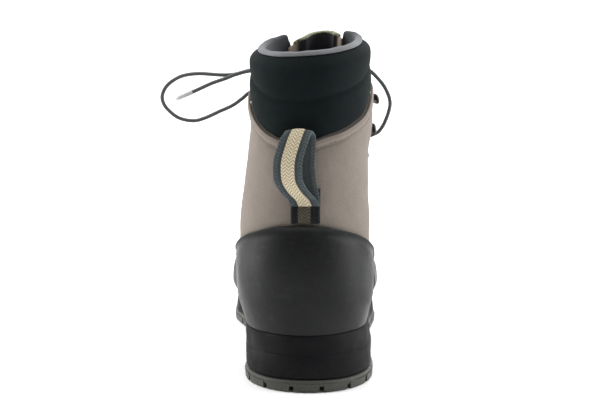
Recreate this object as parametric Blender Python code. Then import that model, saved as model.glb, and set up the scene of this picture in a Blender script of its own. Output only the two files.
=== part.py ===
"""Wading boot for the right foot: a lace-up boot with a padded collar, on a lugged sole.

Metres, +Z up. The toe points along +Y and the outer side of the foot lies towards +X. The origin is
the centre of the heel's flat ground face. The last, the foot-shaped form inside a shoe, is a formula
worked out from the sizes and section tables below. Every piece of the upper is a panel cut from that
one formula, and the sole follows the last's lower edge.
"""

import math

import bmesh
import bpy
import numpy as np

MM = 0.001

# Driving sizes of the whole boot
SOLE_LENGTH = 0.312
BALL_WIDTH = 0.108
HEEL_WIDTH = 0.0843
BACK_HEIGHT = 0.206
COLLAR_WIDTH = 0.0745
COLLAR_DEPTH = 0.1065
TOE_BOX_HEIGHT = 0.0655
INSTEP_HEIGHT = 0.115

# Sole
HEEL_REST = 0.050
SOLE_HEIGHT = 0.035
LUG_DEPTH = 0.003
OUTSOLE_BASE = 0.0042
OUTSOLE_BEVEL = 0.0005
OUTSOLE_PROUD = 0.0006
ARCH_RISE = 0.0065
TOE_SPRING = 0.0155
HEEL_STRIKE = 0.0008
SOLE_EDGE = 0.0044
SOLE_SKEW = 0.0016
MIDSOLE_FLARE = 0.0012
MIDSOLE_GROOVE = 0.0009
MIDSOLE_BEVEL = 0.0004
LUG_PITCH = 0.0195
LUG_SPACE = 0.0026
LUG_REACH = 0.015
LUG_PROUD = 0.0005
LUG_DRAFT = 0.0005
INSOLE_THICKNESS = 0.004

# Walls, paddings and clearances
GAP = 0.0003
OVERLAY_GAP = 0.0005
TOE_CAP_GAP = 0.0008
WALL = 0.002
COUNTER_THICKNESS = 0.0020
TOE_CAP_THICKNESS = 0.0018
TOE_CAP_REACH = 0.054
TOE_CAP_SLANT = 0.9
RAND_HEIGHT = 0.028
RAISED_EDGE = 0.0006
FACING_THICKNESS = 0.0013
FACING_TOP = OVERLAY_GAP + FACING_THICKNESS
FACING_WIDTH = 0.023
BAND_THICKNESS = 0.0011
BAND_WIDTH = 0.0066
COLLAR_PADDING = 0.0075
COLLAR_PUFF = 0.0013
COLLAR_SEAM_DEPTH = 0.0009
LINING_THICKNESS = 0.0012
LINING_ROLL = 0.0030
LINING_DEPTH = 0.028
COLLAR_ROUNDING = 0.0045
TUCK = 0.0048
BULGE_RISE = 0.010
HEEL_BULGE = 0.012

# Tongue
THROAT_WIDTH = 0.039
TONGUE_THICKNESS = 0.0052
TONGUE_WING = 0.0014
TONGUE_OVERLAP = 0.008
TONGUE_SHOULDER = 0.0062
TONGUE_DRIFT = 0.004
TONGUE_TUCK = (0.15, 0.74)

# Webbing of the backstay and the pull loop
WEBBING_WIDTH = 0.0176
WEBBING_THICKNESS = 0.0015
WEBBING_OFFSET = 0.0028
LOOP_FOOT = 0.116
LOOP_HEIGHT = 0.0475
LOOP_CLEAR = 0.0029
BACKSTAY_OVER = 0.010

# Lacing
LACE_DIAMETER = 0.0026
LACE_REST = 0.0012
CROSSING_SPREAD = 0.010
EYELET_OUTER = 0.0090
EYELET_INNER = 0.0046
EYELET_HEIGHT = 0.0009
EYELET_SETBACK = 0.0095
HOOK_SETBACK = 0.0135
HOOK_WIDTH = 0.0070
HOOK_LENGTH = 0.0120
HOOK_HEIGHT = 0.0080
HOOK_METAL = 0.0010
KNOT_SIZE = 0.0090
KNOT_SEAT = 0.0035
AGLET_LENGTH = 0.013
AGLET_DIAMETER = 0.0032
BOW_REACH = 0.108

# Turn of the throat towards the outer side, and the collar's rise towards it
THROAT_TURN = 0.056
COLLAR_TILT = 0.055

# Spans over which one shape passes into the next. WAIST, HEEL_SPAN and ARCH_BARE (which has no edge
# lugs): shares of SOLE_LENGTH. SHAFT_BEND and SHAFT_NARROW: shares of BACK_HEIGHT. COLLAR_SPAN: levels.
WAIST = (0.25, 0.55)
HEEL_SPAN = (0.20, 0.45)
ARCH_BARE = (0.285, 0.40)
SHAFT_BEND = (0.28, 0.85)
SHAFT_NARROW = (0.35, 0.80)
COLLAR_SPAN = (0.70, 0.95)

# Shares of HEEL_WIDTH: the softness of the melt between foot and shaft, how far to the side it fades,
# and the least and greatest inset of the last's core from its ends. SHAFT_MIDDLE: of COLLAR_DEPTH.
MELT = 0.14
MELT_REACH = 0.45
CORE_INSET = 0.48
CORE_LEAST = 0.05
SHAFT_MIDDLE = 0.6

# How square the shaft's section is at the heel, and how much squarer it gets at the collar.
SHAFT_SQUARE = 2.1
COLLAR_SQUARE = 0.25

# Share of the melt's softness that the sides of the foot lose, and the level up to which the upper's
# rows follow the feather edge.
MELT_FADE = 0.75
LEVEL_BLEND = 0.30

# Middle blocks of the tread. TREAD_STEP, TREAD_GAP and TREAD_LENGTH: shares of LUG_PITCH.
# TREAD_START: share of SOLE_LENGTH.
TREAD_STEP = 0.95
TREAD_GAP = 1.02
TREAD_LENGTH = 0.36
TREAD_START = 0.46

# Fineness of the faceted panels
ROUND = 40
THROAT_LEVEL = 0.50
CLOSED_ROWS = (0.0, 0.14, 0.30, 0.47, 0.60, 0.71, 0.82, 0.91, 1.0)
OPEN_ROWS = (0.03, 0.08, 0.16, 0.26, 0.38, 0.52, 0.67, 0.83, 1.0)


def table(columns, *rows):
    """A small table as a dictionary of its named columns."""
    return {name: np.array(values) for name, values in zip(columns.split(), zip(*rows))}


# The last seen from above. along: share of SOLE_LENGTH from the heel's back.
# centre and half: shares of BALL_WIDTH, of the sole's middle line and half width before its round ends.
# arch: how square a cross-section is, from 1.6, a peaked instep, to 2.4, a full toe box.
PLAN = table(
    "along centre half arch",
    (0.00, 0.000, 0.382, 2.10),
    (0.12, 0.000, 0.382, 1.90),
    (0.28, 0.004, 0.376, 1.75),
    (0.40, 0.002, 0.370, 1.70),
    (0.49, -0.012, 0.388, 1.70),
    (0.57, -0.040, 0.438, 1.78),
    (0.65, -0.064, 0.484, 2.00),
    (0.76, -0.080, 0.480, 2.25),
    (0.88, -0.100, 0.445, 2.40),
    (1.00, -0.124, 0.415, 2.40),
)
HEEL_ROUND = 0.20
HEEL_END = 0.30
TOE_ROUND = 0.285

# Heights along the sole. tread: share of the rise named beside it. feather: share of SOLE_HEIGHT,
# the line where the upper meets the midsole.
TREAD = table(
    "along strike arch toe",
    (0.00, 1.0, 0.0, 0.0),
    (0.04, 0.0, 0.0, 0.0),
    (0.27, 0.0, 0.0, 0.0),
    (0.31, 0.0, 1.0, 0.0),
    (0.37, 0.0, 1.0, 0.0),
    (0.42, 0.0, 0.0, 0.0),
    (0.70, 0.0, 0.0, 0.0),
    (0.85, 0.0, 0.0, 0.28),
    (1.00, 0.0, 0.0, 1.0),
)
FEATHER = table(
    "along height",
    (0.00, 1.015),
    (0.12, 1.000),
    (0.30, 0.930),
    (0.45, 0.785),
    (0.62, 0.630),
    (0.75, 0.615),
    (0.88, 0.700),
    (1.00, 0.890),
)

# Top line of the foot part, before the toe's round end. toe: share of TOE_BOX_HEIGHT.
# instep: share of INSTEP_HEIGHT. A row's height is the sum of the two.
RIDGE = table(
    "along toe instep",
    (0.000, 0.000, 1.530),
    (0.385, 0.000, 1.530),
    (0.410, 0.000, 1.391),
    (0.442, 0.000, 1.235),
    (0.474, 0.000, 1.113),
    (0.513, 0.000, 1.000),
    (0.561, 0.200, 0.777),
    (0.609, 0.450, 0.544),
    (0.657, 0.650, 0.356),
    (0.705, 0.820, 0.202),
    (0.769, 0.940, 0.078),
    (0.840, 1.000, 0.000),
    (0.913, 0.950, 0.000),
    (1.000, 0.890, 0.000),
)

# The heel and shaft as level sections. height: share of BACK_HEIGHT. back: share of SOLE_LENGTH.
# depth: share of COLLAR_DEPTH. half: share of the width there, which passes from HEEL_WIDTH at the
# bottom to COLLAR_WIDTH at the top. back_round and front_round: shares of the depth.
SHAFT = table(
    "height back depth half back_round front_round",
    (0.165, 0.0125, 1.080, 0.4280, 0.385, 0.560),
    (0.220, 0.0088, 1.135, 0.4640, 0.368, 0.560),
    (0.272, 0.0068, 1.190, 0.4930, 0.355, 0.560),
    (0.340, 0.0078, 1.240, 0.4990, 0.350, 0.580),
    (0.420, 0.0150, 1.285, 0.5000, 0.352, 0.615),
    (0.500, 0.0290, 1.290, 0.5120, 0.365, 0.620),
    (0.583, 0.0400, 1.225, 0.5120, 0.390, 0.560),
    (0.680, 0.0449, 1.145, 0.5120, 0.420, 0.500),
    (0.752, 0.0437, 1.094, 0.5220, 0.440, 0.470),
    (0.801, 0.0395, 1.073, 0.5240, 0.450, 0.470),
    (0.888, 0.0326, 1.042, 0.5060, 0.460, 0.500),
    (0.971, 0.0296, 1.018, 0.5000, 0.460, 0.560),
    (1.120, 0.0310, 0.985, 0.5000, 0.460, 0.560),
)

# Sideways lean of the heel and shaft off the sole's middle line, share of COLLAR_WIDTH.
LEAN = table(
    "height lean",
    (0.160, -0.014),
    (0.320, -0.026),
    (0.500, -0.032),
    (0.680, -0.010),
    (0.800, 0.026),
    (0.900, 0.022),
    (1.120, 0.018),
)

# Levels round the last, from the feather edge (0) to the collar's top (1). back and front: heights at
# the heel and at the front, as shares of BACK_HEIGHT. reach: where the front lies, share of SOLE_LENGTH.
LEVELS = table(
    "level back front reach",
    (0.0000, 0.170, 0.150, 0.980),
    (0.0625, 0.204, 0.184, 0.982),
    (0.1250, 0.243, 0.223, 0.978),
    (0.1875, 0.282, 0.262, 0.962),
    (0.2500, 0.325, 0.291, 0.923),
    (0.3125, 0.374, 0.311, 0.859),
    (0.3750, 0.422, 0.335, 0.785),
    (0.4375, 0.471, 0.367, 0.721),
    (0.5000, 0.519, 0.403, 0.663),
    (0.5625, 0.573, 0.442, 0.619),
    (0.6250, 0.626, 0.490, 0.571),
    (0.6875, 0.684, 0.551, 0.522),
    (0.7500, 0.743, 0.621, 0.481),
    (0.8125, 0.801, 0.704, 0.446),
    (0.8750, 0.864, 0.811, 0.413),
    (0.9375, 0.930, 0.930, 0.385),
    (1.0000, 1.000, 1.060, 0.372),
    (1.0625, 1.070, 1.133, 0.369),
)

# Half width of the throat, share of THROAT_WIDTH, from its bottom up to the collar's top.
THROAT = table(
    "level half",
    (0.500, 0.000),
    (0.520, 0.150),
    (0.560, 0.235),
    (0.625, 0.320),
    (0.700, 0.400),
    (0.780, 0.480),
    (0.850, 0.530),
    (0.910, 0.540),
    (0.960, 0.525),
    (0.985, 0.535),
    (1.000, 0.570),
    (1.063, 0.610),
)

# Lower edge of the collar on each side, and upper edge of the heel counter, from the back (0) to the
# throat's edge or the front (1). inner, outer and height: shares of BACK_HEIGHT.
COLLAR_LINE = table(
    "round inner outer",
    (0.00, 0.748, 0.748),
    (0.06, 0.750, 0.756),
    (0.12, 0.755, 0.768),
    (0.20, 0.770, 0.782),
    (0.27, 0.792, 0.800),
    (0.35, 0.826, 0.822),
    (0.47, 0.876, 0.862),
    (0.60, 0.905, 0.893),
    (0.80, 0.930, 0.925),
    (1.00, 0.950, 0.950),
)
COUNTER_LINE = table(
    "round height",
    (0.00, 0.503),
    (0.10, 0.498),
    (0.20, 0.473),
    (0.25, 0.449),
    (0.29, 0.415),
    (0.33, 0.370),
    (0.36, 0.320),
    (0.385, 0.250),
)

# Heights of the lace's fixings, as shares of BACK_HEIGHT: eyelets below and hooks above.
EYELET_HEIGHTS = (0.440, 0.483, 0.530, 0.580)
HOOK_HEIGHTS = (0.640, 0.735, 0.830)
KNOT_HEIGHT = 0.925

# Where the lace's crossings end beside an eyelet or a hook, as shares of EYELET_OUTER and HOOK_LENGTH.
EYELET_REACH = 0.75
HOOK_REACH = 0.72

# The pull loop's path, from its outer foot over its top to its inner foot. side: millimetres towards
# the inner side of the foot. out: millimetres behind the boot's back. rise: share of LOOP_HEIGHT.
PULL_LOOP = table(
    "side out rise",
    (0.0, 5.4, 0.00),
    (1.6, 5.8, 0.08),
    (6.4, 9.4, 0.20),
    (10.4, 14.2, 0.38),
    (10.9, 16.2, 0.58),
    (9.4, 15.4, 0.80),
    (7.5, 12.4, 0.95),
    (6.2, 9.4, 1.00),
    (4.8, 6.6, 0.94),
    (4.0, 4.9, 0.78),
    (3.4, 3.9, 0.55),
    (1.8, 3.3, 0.28),
    (0.0, 3.1, 0.10),
    (0.0, 3.1, 0.00),
)

# The tongue's top edge. across: share of its half width, negative on the inner side.
# rise: metres that the edge stands over the tongue's shoulders.
TONGUE_TOP = table(
    "across rise",
    (-1.00, 0.0008),
    (-0.75, 0.0032),
    (-0.50, 0.0042),
    (-0.25, 0.0049),
    (0.00, 0.0053),
    (0.25, 0.0049),
    (0.50, 0.0045),
    (0.75, 0.0042),
    (1.00, 0.0028),
)

# The knot's profile, as shares of KNOT_SIZE: its wrap stands proud of the lengths that pass through it.
KNOT = table(
    "along radius",
    (-0.50, 0.36),
    (-0.46, 0.42),
    (-0.26, 0.42),
    (-0.22, 0.50),
    (0.22, 0.50),
    (0.26, 0.42),
    (0.46, 0.42),
    (0.50, 0.36),
)

# The bow's paths from the knot's middle, as shares of BOW_REACH. side: towards the outer side of the
# foot. front: towards the toe. rise: upwards. Each loop starts and ends at the knot.
LOOP_INNER = table(
    "side front rise",
    (-0.045, 0.004, 0.024),
    (-0.150, -0.017, 0.034),
    (-0.290, -0.026, 0.030),
    (-0.429, -0.026, 0.020),
    (-0.531, -0.026, -0.006),
    (-0.619, -0.026, -0.012),
    (-0.768, -0.026, -0.004),
    (-0.877, -0.026, -0.020),
    (-0.962, -0.026, -0.070),
    (-1.001, -0.026, -0.130),
    (-1.002, -0.026, -0.181),
    (-0.972, -0.022, -0.233),
    (-0.900, -0.019, -0.289),
    (-0.806, -0.013, -0.308),
    (-0.727, -0.007, -0.288),
    (-0.641, 0.000, -0.249),
    (-0.555, 0.006, -0.210),
    (-0.490, 0.011, -0.164),
    (-0.439, 0.017, -0.125),
    (-0.315, 0.024, -0.079),
    (-0.167, 0.026, -0.044),
    (-0.045, 0.022, -0.022),
)
LOOP_OUTER = table(
    "side front rise",
    (0.045, 0.011, 0.022),
    (0.130, 0.028, 0.039),
    (0.241, 0.031, 0.037),
    (0.320, 0.030, 0.019),
    (0.373, 0.030, -0.026),
    (0.426, 0.030, -0.092),
    (0.459, 0.030, -0.171),
    (0.456, 0.030, -0.237),
    (0.429, 0.030, -0.316),
    (0.403, 0.031, -0.361),
    (0.378, 0.039, -0.387),
    (0.315, 0.074, -0.412),
    (0.241, 0.106, -0.389),
    (0.167, 0.111, -0.306),
    (0.111, 0.088, -0.194),
    (0.083, 0.056, -0.083),
    (0.045, 0.026, -0.028),
)
END_INNER = table(
    "side front rise",
    (-0.045, -0.020, 0.002),
    (-0.139, -0.051, 0.015),
    (-0.278, -0.063, 0.022),
    (-0.431, -0.063, 0.016),
    (-0.529, -0.063, -0.008),
    (-0.593, -0.063, -0.033),
    (-0.679, -0.063, -0.063),
    (-0.765, -0.063, -0.102),
    (-0.804, -0.063, -0.119),
)
END_OUTER = table(
    "side front rise",
    (-0.010, 0.0255, -0.0370),
    (-0.028, 0.060, -0.102),
    (-0.056, 0.102, -0.204),
    (-0.083, 0.153, -0.315),
    (-0.102, 0.213, -0.426),
    (-0.111, 0.282, -0.528),
    (-0.116, 0.352, -0.611),
    (-0.120, 0.412, -0.676),
)


def curve_through(keys, values):
    """A smooth curve through a table's points that never swings past them."""
    steps = np.diff(keys)
    slopes = np.diff(values) / steps
    tangents = np.concatenate([slopes[:1], np.zeros(len(keys) - 2), slopes[-1:]])
    same_way = slopes[:-1] * slopes[1:] > 0
    total = np.where(same_way, slopes[:-1] + slopes[1:], 1.0)
    tangents[1:-1] = np.where(same_way, 2 * slopes[:-1] * slopes[1:] / total, 0.0)

    def value(at):
        at = np.clip(at, keys[0], keys[-1])
        k = np.clip(np.searchsorted(keys, at) - 1, 0, len(keys) - 2)
        t = (at - keys[k]) / steps[k]
        start = values[k] * (1 + 2 * t) * (1 - t) ** 2 + tangents[k] * steps[k] * t * (1 - t) ** 2
        end = values[k + 1] * t * t * (3 - 2 * t) + tangents[k + 1] * steps[k] * t * t * (t - 1)
        return start + end

    return value


def column(rows, name, key=None):
    """The smooth curve of one named column of a table."""
    key = key or next(iter(rows))
    return curve_through(rows[key], rows[name])


plan_centre = column(PLAN, "centre")
plan_half = column(PLAN, "half")
plan_arch = column(PLAN, "arch")
tread_strike = column(TREAD, "strike")
tread_arch = column(TREAD, "arch")
tread_toe = column(TREAD, "toe")
feather_height = column(FEATHER, "height")
ridge_toe = column(RIDGE, "toe")
ridge_instep = column(RIDGE, "instep")
shaft_back = column(SHAFT, "back")
shaft_depth = column(SHAFT, "depth")
shaft_half = column(SHAFT, "half")
shaft_back_round = column(SHAFT, "back_round")
shaft_front_round = column(SHAFT, "front_round")
shaft_lean = column(LEAN, "lean")
level_back = column(LEVELS, "back")
level_front = column(LEVELS, "front")
level_reach = column(LEVELS, "reach")
throat_half = column(THROAT, "half")
tongue_rise = column(TONGUE_TOP, "rise")
collar_line_inner = column(COLLAR_LINE, "inner")
collar_line_outer = column(COLLAR_LINE, "outer")
counter_line = column(COUNTER_LINE, "height")


def tread(y):
    """Height of the ground face of the lugs at distance y from the heel's back."""
    along = y / SOLE_LENGTH
    return HEEL_STRIKE * tread_strike(along) + ARCH_RISE * tread_arch(along) + TOE_SPRING * tread_toe(along)


def feather(y):
    """Height of the line where the upper meets the midsole."""
    return SOLE_HEIGHT * feather_height(y / SOLE_LENGTH)


def ramp(x, low, high):
    """Rises smoothly from 0 at low to 1 at high."""
    t = np.clip((x - low) / (high - low), 0, 1)
    return t * t * (3 - 2 * t)


def axis(y, z):
    """Sideways place of the last's middle line, which bends in at the toe and leans out at the collar."""
    foot = BALL_WIDTH * plan_centre(y / SOLE_LENGTH)
    rise = ramp(z / BACK_HEIGHT, *SHAFT_BEND)
    turn = THROAT_TURN * (y - SHAFT_MIDDLE * COLLAR_DEPTH)
    rear = 1 - ramp(y / SOLE_LENGTH, *WAIST) * (1 - rise)
    return foot * (1 - rise) + turn * rise + COLLAR_WIDTH * shaft_lean(z / BACK_HEIGHT) * rear


def foot_form(x, y, z):
    """Negative inside the foot part of the last, at sideways distance x from its middle line."""
    along = y / SOLE_LENGTH
    low = feather(y)
    rise = BULGE_RISE + HEEL_BULGE * (1 - ramp(along, *HEEL_SPAN))
    bulge = low + rise
    top = TOE_BOX_HEIGHT * ridge_toe(along) + INSTEP_HEIGHT * ridge_instep(along)
    tuck = TUCK * np.clip((bulge - z) / rise, 0, 1) ** 2
    half = BALL_WIDTH * plan_half(along) - SOLE_EDGE + TUCK - tuck
    square = plan_arch(along)
    toe_round = TOE_ROUND * SOLE_LENGTH
    tip = SOLE_LENGTH - SOLE_EDGE + 0.5 * (TUCK - tuck)
    toe = np.clip((y - tip + toe_round) / toe_round, 0, None)
    heel_round = HEEL_ROUND * SOLE_LENGTH
    heel = np.clip((HEEL_END * SOLE_LENGTH - y) / heel_round, 0, None)
    up = np.clip((z - bulge) / (top - bulge), 0, None)
    total = np.abs(x / half) ** square + up**square + toe**square + heel**square
    return (total ** (1 / square) - 1) * 0.5 * HEEL_WIDTH


def shaft_form(x, y, z):
    """Negative inside the heel and shaft of the last."""
    height = z / BACK_HEIGHT
    mix = ramp(height, *SHAFT_NARROW)
    half = shaft_half(height) * (HEEL_WIDTH * (1 - mix) + COLLAR_WIDTH * mix)
    back = shaft_back(height) * SOLE_LENGTH
    depth = shaft_depth(height) * COLLAR_DEPTH
    back_round = shaft_back_round(height) * depth
    front_round = shaft_front_round(height) * depth
    rear = np.clip((back + back_round - y) / back_round, 0, None)
    fore = np.clip((y - back - depth + front_round) / front_round, 0, None)
    square = SHAFT_SQUARE + COLLAR_SQUARE * mix
    total = np.abs(x / half) ** square + rear**square + fore**square
    return (total ** (1 / square) - 1) * 0.5 * HEEL_WIDTH


def form(x, y, z):
    """The whole last: foot and shaft melted together, with the softest melt over the instep."""
    a = foot_form(x, y, z)
    b = shaft_form(x, y, z)
    aside = np.clip(np.abs(x) / (MELT_REACH * HEEL_WIDTH), 0, 1)
    soft = MELT * HEEL_WIDTH * (1 - MELT_FADE * aside)
    h = np.clip(0.5 + 0.5 * (b - a) / soft, 0, 1)
    return b * (1 - h) + a * h - soft * h * (1 - h)


def ring_height(v, x, y):
    """Height of level v at distance y from the heel's back and x from the middle line."""
    reach = level_reach(v) * SOLE_LENGTH
    back = level_back(v) * BACK_HEIGHT
    front = level_front(v) * BACK_HEIGHT
    plane = back + (front - back) * y / reach
    along_feather = feather(y) + back - level_back(0.0) * BACK_HEIGHT
    share = ramp(v, 0.0, LEVEL_BLEND)
    return along_feather * (1 - share) + plane * share + COLLAR_TILT * x * ramp(v, *COLLAR_SPAN)


def straight_point(u, v):
    """A point of the last before its middle line is bent. u runs once round from the heel's back (0)
    by the outer side (0.25) and the front (0.5), v from the feather edge (0) to the collar's top (1)."""
    u, v = np.broadcast_arrays(np.asarray(u, float), np.asarray(v, float))
    angle = 2 * math.pi * u
    front = level_reach(v) * SOLE_LENGTH
    back = shaft_back(level_back(v)) * SOLE_LENGTH
    core = np.maximum((front - back) / 2 - CORE_INSET * HEEL_WIDTH, CORE_LEAST * HEEL_WIDTH)
    start = (front + back) / 2 - core * np.cos(angle)
    low = np.zeros(u.shape)
    high = np.full(u.shape, BALL_WIDTH)
    for _ in range(27):
        r = (low + high) / 2
        x = r * np.sin(angle)
        y = start - r * np.cos(angle)
        outside = form(x, y, ring_height(v, x, y)) > 0
        high = np.where(outside, r, high)
        low = np.where(outside, low, r)
    x = low * np.sin(angle)
    y = start - low * np.cos(angle)
    return x, y, ring_height(v, x, y)


def last_point(u, v):
    """A point of the last's surface, measured from the heel's back."""
    x, y, z = straight_point(u, v)
    return np.stack([x + axis(y, z), y, z], axis=-1)


def last_normal(u, v):
    """The direction straight out of the last's surface."""
    step = 0.002
    v = np.asarray(v, float)
    low = np.maximum(v - step, 0)
    round_it = last_point(u + step, v) - last_point(u - step, v)
    up = last_point(u, v + step) - last_point(u, low)
    out = np.cross(round_it, up)
    return out / np.linalg.norm(out, axis=-1, keepdims=True)


def make_edge_table(levels, wanted):
    """How far round the last a sideways distance from the front lies, at a row of levels."""
    rounds = np.linspace(0.5, 0.25, 50)
    side = straight_point(rounds[None, :], levels[:, None])[0]
    return np.array([np.interp(wanted(v), row, rounds) for v, row in zip(levels, side)])


TOP_LEVEL = LEVELS["level"][-1]
LOW_LEVELS = np.linspace(THROAT_LEVEL, 0.56, 16)
HIGH_LEVELS = np.linspace(0.58, TOP_LEVEL, 32)
THROAT_LEVELS = np.concatenate([[0.0], LOW_LEVELS, HIGH_LEVELS])
THROAT_ROUNDS = make_edge_table(THROAT_LEVELS, lambda v: THROAT_WIDTH * throat_half(v))


def round_at(p, v):
    """How far round the last column p lies: 0 at the back, 1 and -1 at the throat's two edges, or at
    the front where the upper is closed."""
    edge = np.interp(v, THROAT_LEVELS, THROAT_ROUNDS)
    return p * np.where(v > THROAT_LEVEL, edge, 0.5)


def skin(p, v, out):
    """Points at distance out from the last's surface, none of them below the midsole's top."""
    p, v = np.broadcast_arrays(np.asarray(p, float), np.asarray(v, float))
    u = round_at(p, v)
    points = last_point(u, v) + last_normal(u, v) * np.asarray(out)[..., None]
    floor = feather(points[..., 1]) + GAP
    points[..., 2] = np.maximum(points[..., 2], floor)
    return points


def level_where(p, measure, wanted):
    """The level at which a growing measure of the last's points reaches a wanted value in column p."""
    p = np.atleast_1d(p)
    levels = np.linspace(0.0, TOP_LEVEL, 90)
    grid = last_point(round_at(p[:, None], levels[None, :]), levels[None, :])
    return np.array([np.interp(w, row, levels) for w, row in zip(np.atleast_1d(wanted), measure(grid))])


def level_at(p, height):
    """The level at which column p reaches a height above the ground."""
    return level_where(p, lambda grid: grid[..., 2], height)


def collar_line(p):
    """Height of the collar's lower edge in column p, which is negative on the inner side."""
    return BACK_HEIGHT * np.where(p < 0, collar_line_inner(np.abs(p)), collar_line_outer(np.abs(p)))


def clear_scene():
    for item in list(bpy.data.objects):
        bpy.data.objects.remove(item)


def material(name, colour, roughness, metallic=0.0):
    made = bpy.data.materials.get(name) or bpy.data.materials.new(name)
    made.use_nodes = True
    shader = made.node_tree.nodes["Principled BSDF"]
    shader.inputs["Base Color"].default_value = (*colour, 1.0)
    shader.inputs["Roughness"].default_value = roughness
    shader.inputs["Metallic"].default_value = metallic
    return made


def rubber():
    return material("black_rubber", (0.021, 0.023, 0.023), 0.55)


def lace_cord():
    return material("lace_cord", (0.075, 0.078, 0.080), 0.80)


def metal():
    return material("dark_metal", (0.11, 0.10, 0.10), 0.40, 1.0)


def build_object(name, points, faces, finish, smooth_angle=0.6):
    """A closed mesh object from points that are measured from the heel's back."""
    shifted = np.asarray(points, float) - np.array([0.0, HEEL_REST, 0.0])
    mesh = bpy.data.meshes.new(name)
    mesh.from_pydata([tuple(p) for p in shifted], [], [tuple(f) for f in faces])
    work = bmesh.new()
    work.from_mesh(mesh)
    bmesh.ops.recalc_face_normals(work, faces=work.faces)
    bmesh.ops.triangulate(work, faces=work.faces)
    if work.calc_volume(signed=True) < 0:
        bmesh.ops.reverse_faces(work, faces=work.faces)
    work.to_mesh(mesh)
    work.free()
    mesh.shade_smooth()
    mesh.set_sharp_from_angle(angle=smooth_angle)
    mesh.materials.append(finish)
    made = bpy.data.objects.new(name, mesh)
    bpy.context.scene.collection.objects.link(made)
    return made


def slab(outer, inner):
    """Points and faces of a closed panel between two grids of points, row by row."""
    rows, columns = outer.shape[:2]
    points = np.concatenate([outer.reshape(-1, 3), inner.reshape(-1, 3)])
    shift = rows * columns

    def at(i, j, side):
        return side * shift + i * columns + j

    faces = []
    for i in range(rows - 1):
        for j in range(columns - 1):
            for side in (0, 1):
                faces.append([at(i, j, side), at(i, j + 1, side), at(i + 1, j + 1, side), at(i + 1, j, side)])
    for j in range(columns - 1):
        for i in (0, rows - 1):
            faces.append([at(i, j, 0), at(i, j + 1, 0), at(i, j + 1, 1), at(i, j, 1)])
    for i in range(rows - 1):
        for j in (0, columns - 1):
            faces.append([at(i, j, 0), at(i + 1, j, 0), at(i + 1, j, 1), at(i, j, 1)])
    return points, faces


def bar(sections):
    """Points and faces of a closed bar through sections of equally many points, with flat ends."""
    count, sides = sections.shape[:2]
    points = sections.reshape(-1, 3)
    faces = []
    for i in range(count - 1):
        for j in range(sides):
            k = (j + 1) % sides
            faces.append([i * sides + j, i * sides + k, (i + 1) * sides + k, (i + 1) * sides + j])
    faces.append(list(range(sides)))
    faces.append([(count - 1) * sides + j for j in range(sides)])
    return points, faces


def columns_between(low, high):
    """The panel's columns between two shares round the last. Every panel uses the same ones, and its
    two ends, so that neighbours have the same facets."""
    lines = np.linspace(-1, 1, ROUND + 1)
    spare = 0.35 * (lines[1] - lines[0])
    inside = lines[(lines > low + spare) & (lines < high - spare)]
    return np.concatenate([[low], inside, [high]])


def panel(name, columns, low, high, rows, inner, outer, finish):
    """A panel over the last between two levels for each column. inner and outer give its two faces'
    distances from the last, as values or as functions of the share up the panel."""
    t = np.linspace(0, 1, rows) if np.isscalar(rows) else np.asarray(rows)
    v = low[None, :] + (high - low)[None, :] * t[:, None]
    p = np.broadcast_to(columns[None, :], v.shape)

    def distance(value):
        return np.broadcast_to(value(t)[:, None] if callable(value) else value, v.shape)

    return build_object(name, *slab(skin(p, v, distance(outer)), skin(p, v, distance(inner))), finish)


def sole_edge(u, grow, skew):
    """Plan places at distance grow outside the upper's lower edge. Under the heel they move towards the
    outer side by skew, since the sole flares more there."""
    zero = np.zeros(len(u))
    edge = last_point(u, zero)[:, :2]
    along = (last_point(u + 0.002, zero) - last_point(u - 0.002, zero))[:, :2]
    along /= np.linalg.norm(along, axis=1, keepdims=True)
    spot = edge + np.stack([along[:, 1], -along[:, 0]], axis=1) * grow
    spot[:, 0] += skew * (1 - ramp(edge[:, 1] / SOLE_LENGTH, *WAIST))
    return edge, spot


def sole_ring(grow, height, skew=0.0):
    """A ring round the sole. height is a function of the distance from the heel's back."""
    edge, spot = sole_edge(np.arange(ROUND) / ROUND, grow, skew)
    return np.column_stack([spot, height(edge[:, 1])])


def ring_stack(rings):
    """Points and faces of a closed body through rings that run round the foot, flat across at its
    bottom and top."""
    count = len(rings[0])
    points = np.concatenate(rings)
    faces = []
    for i in range(len(rings) - 1):
        for j in range(count):
            k = (j + 1) % count
            faces.append([i * count + j, i * count + k, (i + 1) * count + k, (i + 1) * count + j])
    for base in (0, (len(rings) - 1) * count):
        for j in range(count // 2):
            across = [j, j + 1, count - j - 1, (count - j) % count]
            faces.append([base + k for k in dict.fromkeys(across)])
    return points, faces


def outsole_top(y):
    return tread(y) + LUG_DEPTH + OUTSOLE_BASE


def make_midsole():
    """Black foam wedge: it flares to the ground and has a groove and a small step round its side."""
    top = SOLE_EDGE - MIDSOLE_FLARE
    step = SOLE_EDGE - 0.5 * MIDSOLE_FLARE
    rows = (
        (0.00, SOLE_EDGE - MIDSOLE_BEVEL),
        (0.06, SOLE_EDGE),
        (0.52, step),
        (0.56, step - MIDSOLE_GROOVE),
        (0.62, step - MIDSOLE_GROOVE / 3),
        (0.95, top),
        (1.00, top - MIDSOLE_BEVEL),
    )

    def at(share):
        return lambda y: outsole_top(y) + GAP + (feather(y) - outsole_top(y) - GAP) * share

    rings = [sole_ring(grow, at(share), SOLE_SKEW * (1 - share)) for share, grow in rows]
    finish = material("black_foam", (0.012, 0.012, 0.014), 0.75)
    return build_object("midsole", *ring_stack(rings), finish)


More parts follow.
